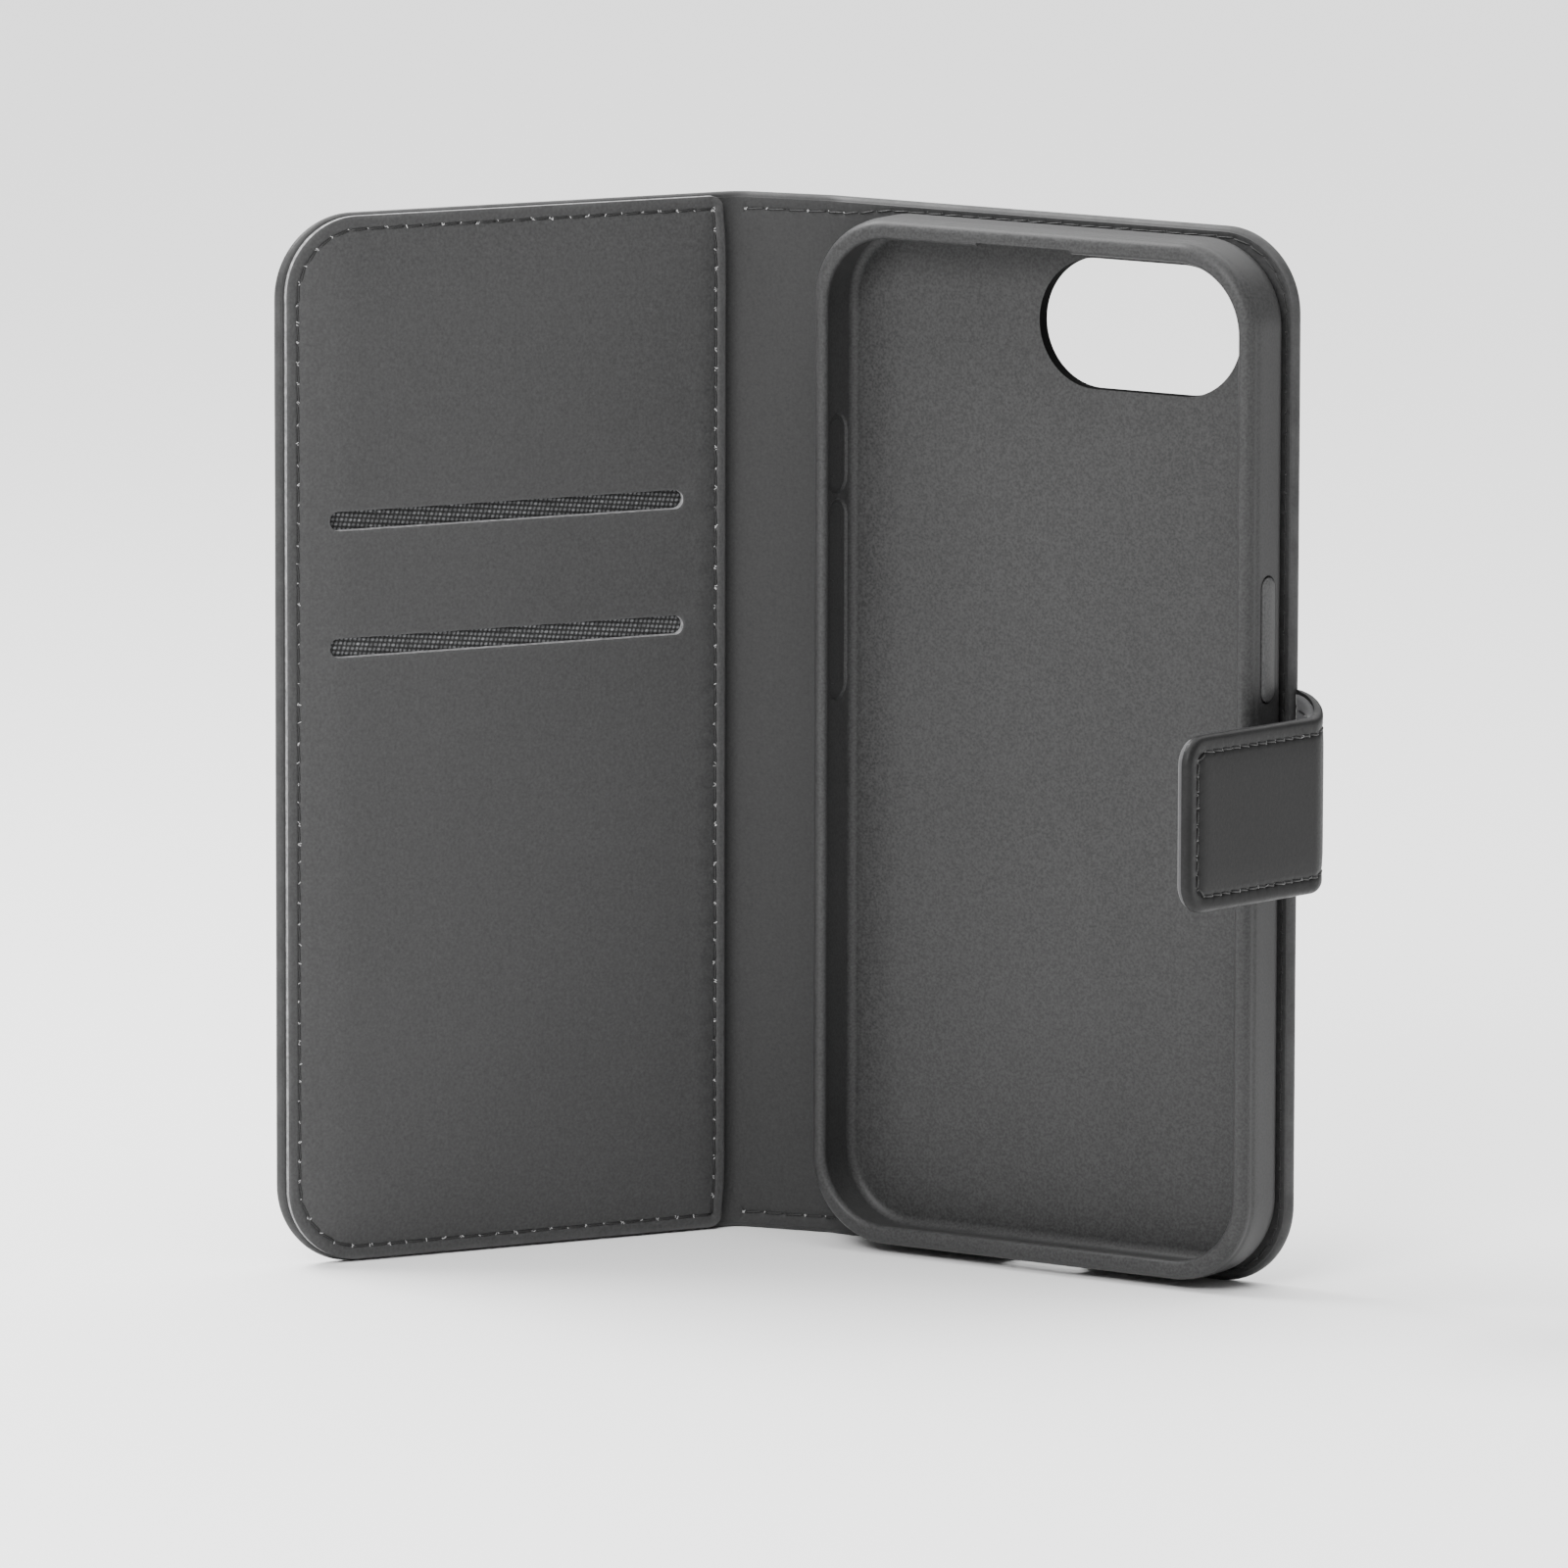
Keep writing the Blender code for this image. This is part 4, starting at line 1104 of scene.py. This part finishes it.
# (piece, CAD node, z, length, side) of each button; (z, length, side) of the recesses inside the walls.
BUTTONS = (("action_button", "action_button_pad", 117.4, 8.0, -1),
           ("volume_up_button", "volume_up_pad", 103.6, 11.0, -1),
           ("volume_down_button", "volume_down_pad", 88.4, 11.0, -1),
           ("power_button", "power_button_pad", 95.2, 18.0, 1))
RECESSES = ((116.6, 11.6, -1), (95.2, 29.4, -1), (95.2, 22.0, 1))
BUTTON_W = 3.2
RECESS_W = 5.2
WALLS = {-1: SHELL_LOW[0], 1: SHELL_HIGH[0]}
MIDDLE_Y = (box_mm("power_button_pad")[0][1] + box_mm("power_button_pad")[1][1]) / 2
# Sections as (depth inside the outer wall, growth).
RECESS_STEPS = ((1.0, -0.14), (1.06, -0.04), (1.4, 0.1), (1.46, 0.2), (2.4, 0.2))
BUTTON_STEPS = ((-1.0, 0.42), (0.0, 0.34), (0.35, 0.16), (2.6, 0.16))
# Charging port's half width and half height, and the notch in the top rim as (x, z) corners.
PORT = (6.5, 2.1)
NOTCH = ((29.9, -1.2), (46.8, -1.2), (46.2, 0.6), (30.5, 0.6))
NOTCH_FROM_TOP = 2.45
COLLAR_STEPS = ((-0.6, 0.8), (0.9, 0.8), (1.05, 0.65))


def wall_sections(side, z, width, length, steps):
    return [wall_loop(WALLS[side] - side * depth, MIDDLE_Y, z, width, length, grow) for depth, grow in steps]


def shell_cutters():
    back, rim, bottom = SHELL_HIGH[1], SHELL_LOW[1], SHELL_LOW[2]
    grey = [MAT["shell"]]
    cutters = [lofted("window_cutter", [window_loop(y, 0.0) for y in (back + 3, back - 3)], [MAT["window"]])]
    notch = np.array(NOTCH) + (FOLD_A[0], SHELL_HIGH[2] - NOTCH_FROM_TOP)
    cutters.append(lofted("notch_cutter", [at_y(notch, y) for y in (rim - 1, rim + 1.25)], grey))
    port_x = (SHELL_LOW[0] + SHELL_HIGH[0]) / 2
    port = round_rect(port_x - PORT[0], port_x + PORT[0], MIDDLE_Y - PORT[1], MIDDLE_Y + PORT[1], 2.09, 12)
    sections = [np.column_stack([port, np.full(len(port), z)]) for z in (bottom - 1, bottom + 2.3)]
    cutters.append(lofted("port_cutter", sections, grey))
    for z, length, side in RECESSES:
        cutters.append(lofted("recess_cutter", wall_sections(side, z, RECESS_W, length, RECESS_STEPS), grey))
    for _, _, z, length, side in BUTTONS:
        cutters.append(lofted("button_cutter", wall_sections(side, z, BUTTON_W, length, BUTTON_STEPS), grey))
    return cutters


def build_shell():
    shell = lofted("moulded_phone_shell", [shell_section(*p) for p in shell_profile()],
                   [MAT["shell"], MAT["window"]])
    cutters = shell_cutters()
    collar = lofted("collar", [window_loop(SHELL_HIGH[1] + y, grow) for y, grow in COLLAR_STEPS],
                    [MAT["window"]])
    cut(shell, cutters, collar)
    soften(shell)
    finish_piece(shell, "shell", "phone_shell", body="back_cover")
    for button in BUTTONS:
        build_button(*button)


def soften(obj):
    """Smooth shading, with a modifier that leans the normals to the large faces."""
    obj.data.shade_smooth()
    obj.data.set_sharp_from_angle(angle=math.radians(38))
    mod = obj.modifiers.new("normals", "WEIGHTED_NORMAL")
    mod.keep_sharp = True
    mod.weight = 80


def build_button(name, node, z, length, side):
    """Rubber pad with a crowned face and a rounded edge."""
    proud, edge = 0.4, 0.1
    steps = [(-1.0, 0.14), (-0.85, 0.14), (-0.6, 0.0), (edge, 0.0)]
    steps += [(edge + (proud - edge) * math.sin(a), -0.55 * (1 - math.cos(a)))
              for a in (math.pi / 12 * i for i in range(1, 7))]
    steps += [(proud + 0.05, -0.9), (proud + 0.08, -1.3)]
    sections = wall_sections(side, z, BUTTON_W, length, [(-out, grow) for out, grow in steps])
    # Painted shade: lit and shaded copies of one rubber. The left pads, seen only inside the shaded recesses,
    # take the darker shell tone, and the lit power button takes the paler button rubber.
    piece = lofted(name, sections, [MAT["button" if side > 0 else "shell"]])
    piece.data.set_sharp_from_angle(angle=math.radians(50))
    finish_piece(piece, "button", node, body=NODES[node]["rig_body"])


# Strap.
STRAP_PITCH = 2.3
STRAP_STATIONS = 44
STRAP_SEAT = -0.6
LINING_START = 0.4
FIRST_STITCH = 1.4
SEAT_HEIGHT = 0.5


def strap_sheet(start, end, inset, tip):
    """Outline, flat mesh and seams of a stretch of strap. Its cut ends are square, and its tip is rounded."""
    half = STRAP_W / 2 - inset
    stations = np.linspace(start, end - (STRAP_CORNER if tip else 0), STRAP_STATIONS)
    if tip:
        outline = open_outline(start, end - inset, -half, half, STRAP_CORNER - inset, stations, 0.6, 1, 18)
        rings = [ring_line(outline, i) for i in EDGE_RINGS]
        seam = ring_line(outline, STRAP_SEAM - inset)
        seam = seam[seam[:, 0] > start + 0.01]
        seams = [np.array([(start, seam[0][1]), *seam, (start, seam[-1][1])])]
        polygon = outline[0]
        free = [polygon]
    else:
        low = np.column_stack([stations, np.full(STRAP_STATIONS, -half)])
        rings = [low + (0, i) for i in EDGE_RINGS] + [(low + (0, i)) * (1, -1) for i in EDGE_RINGS]
        seam_v = STRAP_W / 2 - STRAP_SEAM
        seams = [np.column_stack([stations, np.full(STRAP_STATIONS, s * seam_v)]) for s in (-1, 1)]
        free = [low, low * (1, -1)]
        polygon = np.concatenate([low, free[1][::-1]])
    lines = [(r, False) for r in rings]
    for seam in seams:
        lines += seam_lines(seam)
    cross = np.linspace(-half + EDGE_BAND, half - EDGE_BAND, 14)
    lines += [(column(s, cross), False) for s in stations]
    lines += [(column(s, full_column(-half, cross, half)), False) for s in ([start] if tip else [start, end])]
    return {"flat": flat_mesh(polygon, lines, (), 1.6), "free": free, "seams": seams}


def strap_gap(sheet, points):
    return np.min([distance(points, line) for line in sheet["free"]], axis=0)


def strap_face(sheet):
    """Outer face of the strap: padded between its turned edges, with the seams pulled in."""
    def lift(points):
        gap = strap_gap(sheet, points)
        root = smooth(points[:, 0], -0.4, 1.4)
        full = 0.8 + (STRAP_HALF - 0.8) * root
        crown = 0.1 * smooth(gap, STRAP_SEAM, STRAP_SEAM + 3.0) * root
        seams = sunk(points, sheet["seams"], 0.17, 0.3, 0.2, STRAP_PITCH)
        return full + crown - round_over(gap, 0.85) * root - seams
    return lift


def strap_back(sheet):
    """Inner face of the strap, on its lining."""
    def lift(points):
        gap = strap_gap(sheet, points)
        root = smooth(points[:, 0], -0.4, 1.4)
        full = 0.3 - (STRAP_HALF + 0.3) * root - 0.25 * smooth(points[:, 0], BEND_END, BEND_END + 6)
        seams = sunk(points, sheet["seams"], 0.15, 0.3, 0.15, STRAP_PITCH)
        return full + round_over(gap, 0.6) * root + 0.6 * seams
    return lift


def strap_skin(label, sheet):
    """Outer leather, turned in at its edges and shut to a thin edge where the root goes under the cover."""
    points = sheet["flat"][0]
    gap = strap_gap(sheet, points)
    outer = strap_face(sheet)(points)
    inner = 0.04 - 0.25 * (1 - smooth(gap, 0.5, 0.9))
    root = points[:, 0] < 1.2
    clear = smooth(points[:, 0], 0.2, 1.2)
    inner = np.where(root, np.minimum(SEAT_HEIGHT, outer - 0.1) * (1 - clear) + inner * clear, inner)
    closed = gap < TOUCHING
    level = np.where(root, SEAT_HEIGHT, 0.1)
    outer = np.where(closed, level, outer)
    inner = np.where(closed, level, np.minimum(inner, outer - 0.1))
    # Edges painted paler: partly rubbed wear, partly painted highlight.
    return sheet_piece("strap_%s_leather" % label, sheet["flat"], outer, inner, strap, [MAT["strap"]], 0,
                       np.exp(-(gap / 0.8) ** 2))


def strap_lining(label, sheet):
    points = sheet["flat"][0]
    gap = strap_gap(sheet, points)
    low = strap_back(sheet)(points)
    high = np.full(len(points), -0.03) - 0.25 * (1 - smooth(gap, 0.0, 0.4))
    closed = gap < TOUCHING
    low = np.where(closed, -0.45, np.minimum(low, high - 0.08))
    high = np.where(closed, -0.45, high)
    # Edges painted paler: partly rubbed wear, partly painted highlight.
    return sheet_piece("strap_%s_lining" % label, sheet["flat"], high, low, strap, [MAT["strap_lining"]], 0,
                       np.exp(-(gap / 0.5) ** 2))


def build_strap_part(label, start, end, skins, linings, threads):
    """One of the strap's two parts, which meet between its bends."""
    tip = label == "tip"
    skin_sheet = strap_sheet(start, end, 0.0, tip)
    lining_sheet = strap_sheet(max(start, LINING_START), end, LINING_INSET, tip)
    seams = [s if tip else s[s[:, 0] > FIRST_STITCH] for s in skin_sheet["seams"]]
    rows = [(s, strap_face(skin_sheet), 1, THREAD_R) for s in seams]
    rows += [(s, strap_back(lining_sheet), -1, THREAD_R) for s in seams]
    skin = strap_skin(label, skin_sheet)
    lining = strap_lining(label, lining_sheet)
    thread = thread_piece("strap_%s_stitches" % label, strap, rows, 17, "soft_glint_thread", STRAP_PITCH)
    finish_piece(skin, "strap_leather", *skins)
    finish_piece(lining, "strap_lining", *linings)
    finish_piece(thread, "thread", *threads)
    for piece in (skin, lining, thread):
        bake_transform(piece)


def build_strap():
    build_strap_part("root", STRAP_SEAT, STRAP_SPLIT,
                     ("strap_anchor", "strap_side_outer_skin"), ("strap_side_lining",),
                     ("strap_side_upper_thread", "strap_side_lower_thread"))
    build_strap_part("tip", STRAP_SPLIT, STRAP_LENGTH,
                     ("strap_flap_outer_skin",), ("strap_flap_lining",), ("strap_flap_thread",))


def dress_cad_nodes():
    """Boards, adhesive and magnets keep their CAD shape."""
    looks = {"back_cover_board": "board", "spine_board": "board", "front_cover_board": "board",
             "shell_adhesive_pad": "adhesive", "front_cover_magnet": "magnet", "strap_magnet": "magnet"}
    for node, look in looks.items():
        materials = NODES[node].data.materials
        materials.clear()
        materials.append(MAT[look])


# Stage, light and camera.
def area_light(name, location, target, size, power):
    data = bpy.data.lights.new(name, "AREA")
    data.shape = "RECTANGLE"
    data.size, data.size_y = size
    data.energy = power
    obj = bpy.data.objects.new(name, data)
    bpy.context.scene.collection.objects.link(obj)
    obj.location = location
    obj.rotation_mode = "QUATERNION"
    obj.rotation_quaternion = (Vector(target) - Vector(location)).to_track_quat("-Z", "Y")


def build_stage():
    look = Look("white floor")
    look.colour((0.9, 0.9, 0.9), look.ramp(look.noise(3.0), 0.3, 0.7, 0.995, 1.005))
    look.put(Roughness=0.9)
    bpy.ops.mesh.primitive_grid_add(x_subdivisions=8, y_subdivisions=8, size=40)
    floor = bpy.context.object
    floor.name = "floor"
    floor.data.materials.append(look.mat)
    world = bpy.data.worlds.new("studio")
    bpy.context.scene.world = world
    world.use_nodes = True
    background = world.node_tree.nodes["Background"]
    background.inputs["Color"].default_value = (1.0, 1.0, 1.0, 1.0)
    background.inputs["Strength"].default_value = 0.39
    area_light("ceiling light", (-1.6, 1.8, 3.0), (-1.6, 1.8, 0.0), (7.0, 7.0), 440.0)
    area_light("key light", (0.12, -0.7, 0.55), (0.0, 0.0, 0.08), (0.45, 0.35), 8.6)
    area_light("top left light", (-0.5, -0.06, 0.75), (0.0, 0.0, 0.12), (0.45, 0.35), 12.0)


# The photograph's camera: angles in degrees, lens in millimetres, distance and target in metres.
CAMERA_ANGLES = (32.76, 8.92, 0.14)
CAMERA_TARGET = (-0.00279, -0.00165, 0.07254)
CAMERA_DISTANCE = 2.193
CAMERA_LENS = 349.8


def build_camera():
    azimuth, elevation, roll = (math.radians(x) for x in CAMERA_ANGLES)
    target = Vector(CAMERA_TARGET)
    back = Vector((math.sin(azimuth) * math.cos(elevation), -math.cos(azimuth) * math.cos(elevation),
                   math.sin(elevation)))
    data = bpy.data.cameras.new("camera")
    data.sensor_width = 36.0
    data.lens = CAMERA_LENS
    camera = bpy.data.objects.new("camera", data)
    bpy.context.scene.collection.objects.link(camera)
    camera.location = target + back * CAMERA_DISTANCE
    turn = (-back).to_track_quat("-Z", "Y").to_matrix() @ Matrix.Rotation(roll, 3, "Z")
    camera.rotation_euler = turn.to_euler()
    data.clip_start, data.clip_end = 0.05, 60.0
    bpy.context.scene.camera = camera


build_back_cover()
build_front_cover()
build_pocket("upper_pocket_cloth", "upper_card_pocket_fabric", (1.9, 2.1), SLOT_Z[0], (25.0, 114.0))
build_pocket("lower_pocket_cloth", "lower_card_pocket_fabric", (2.2, 2.4), SLOT_Z[1], (6.5, 95.5))
build_shell()
build_strap()
dress_cad_nodes()
build_stage()
build_camera()
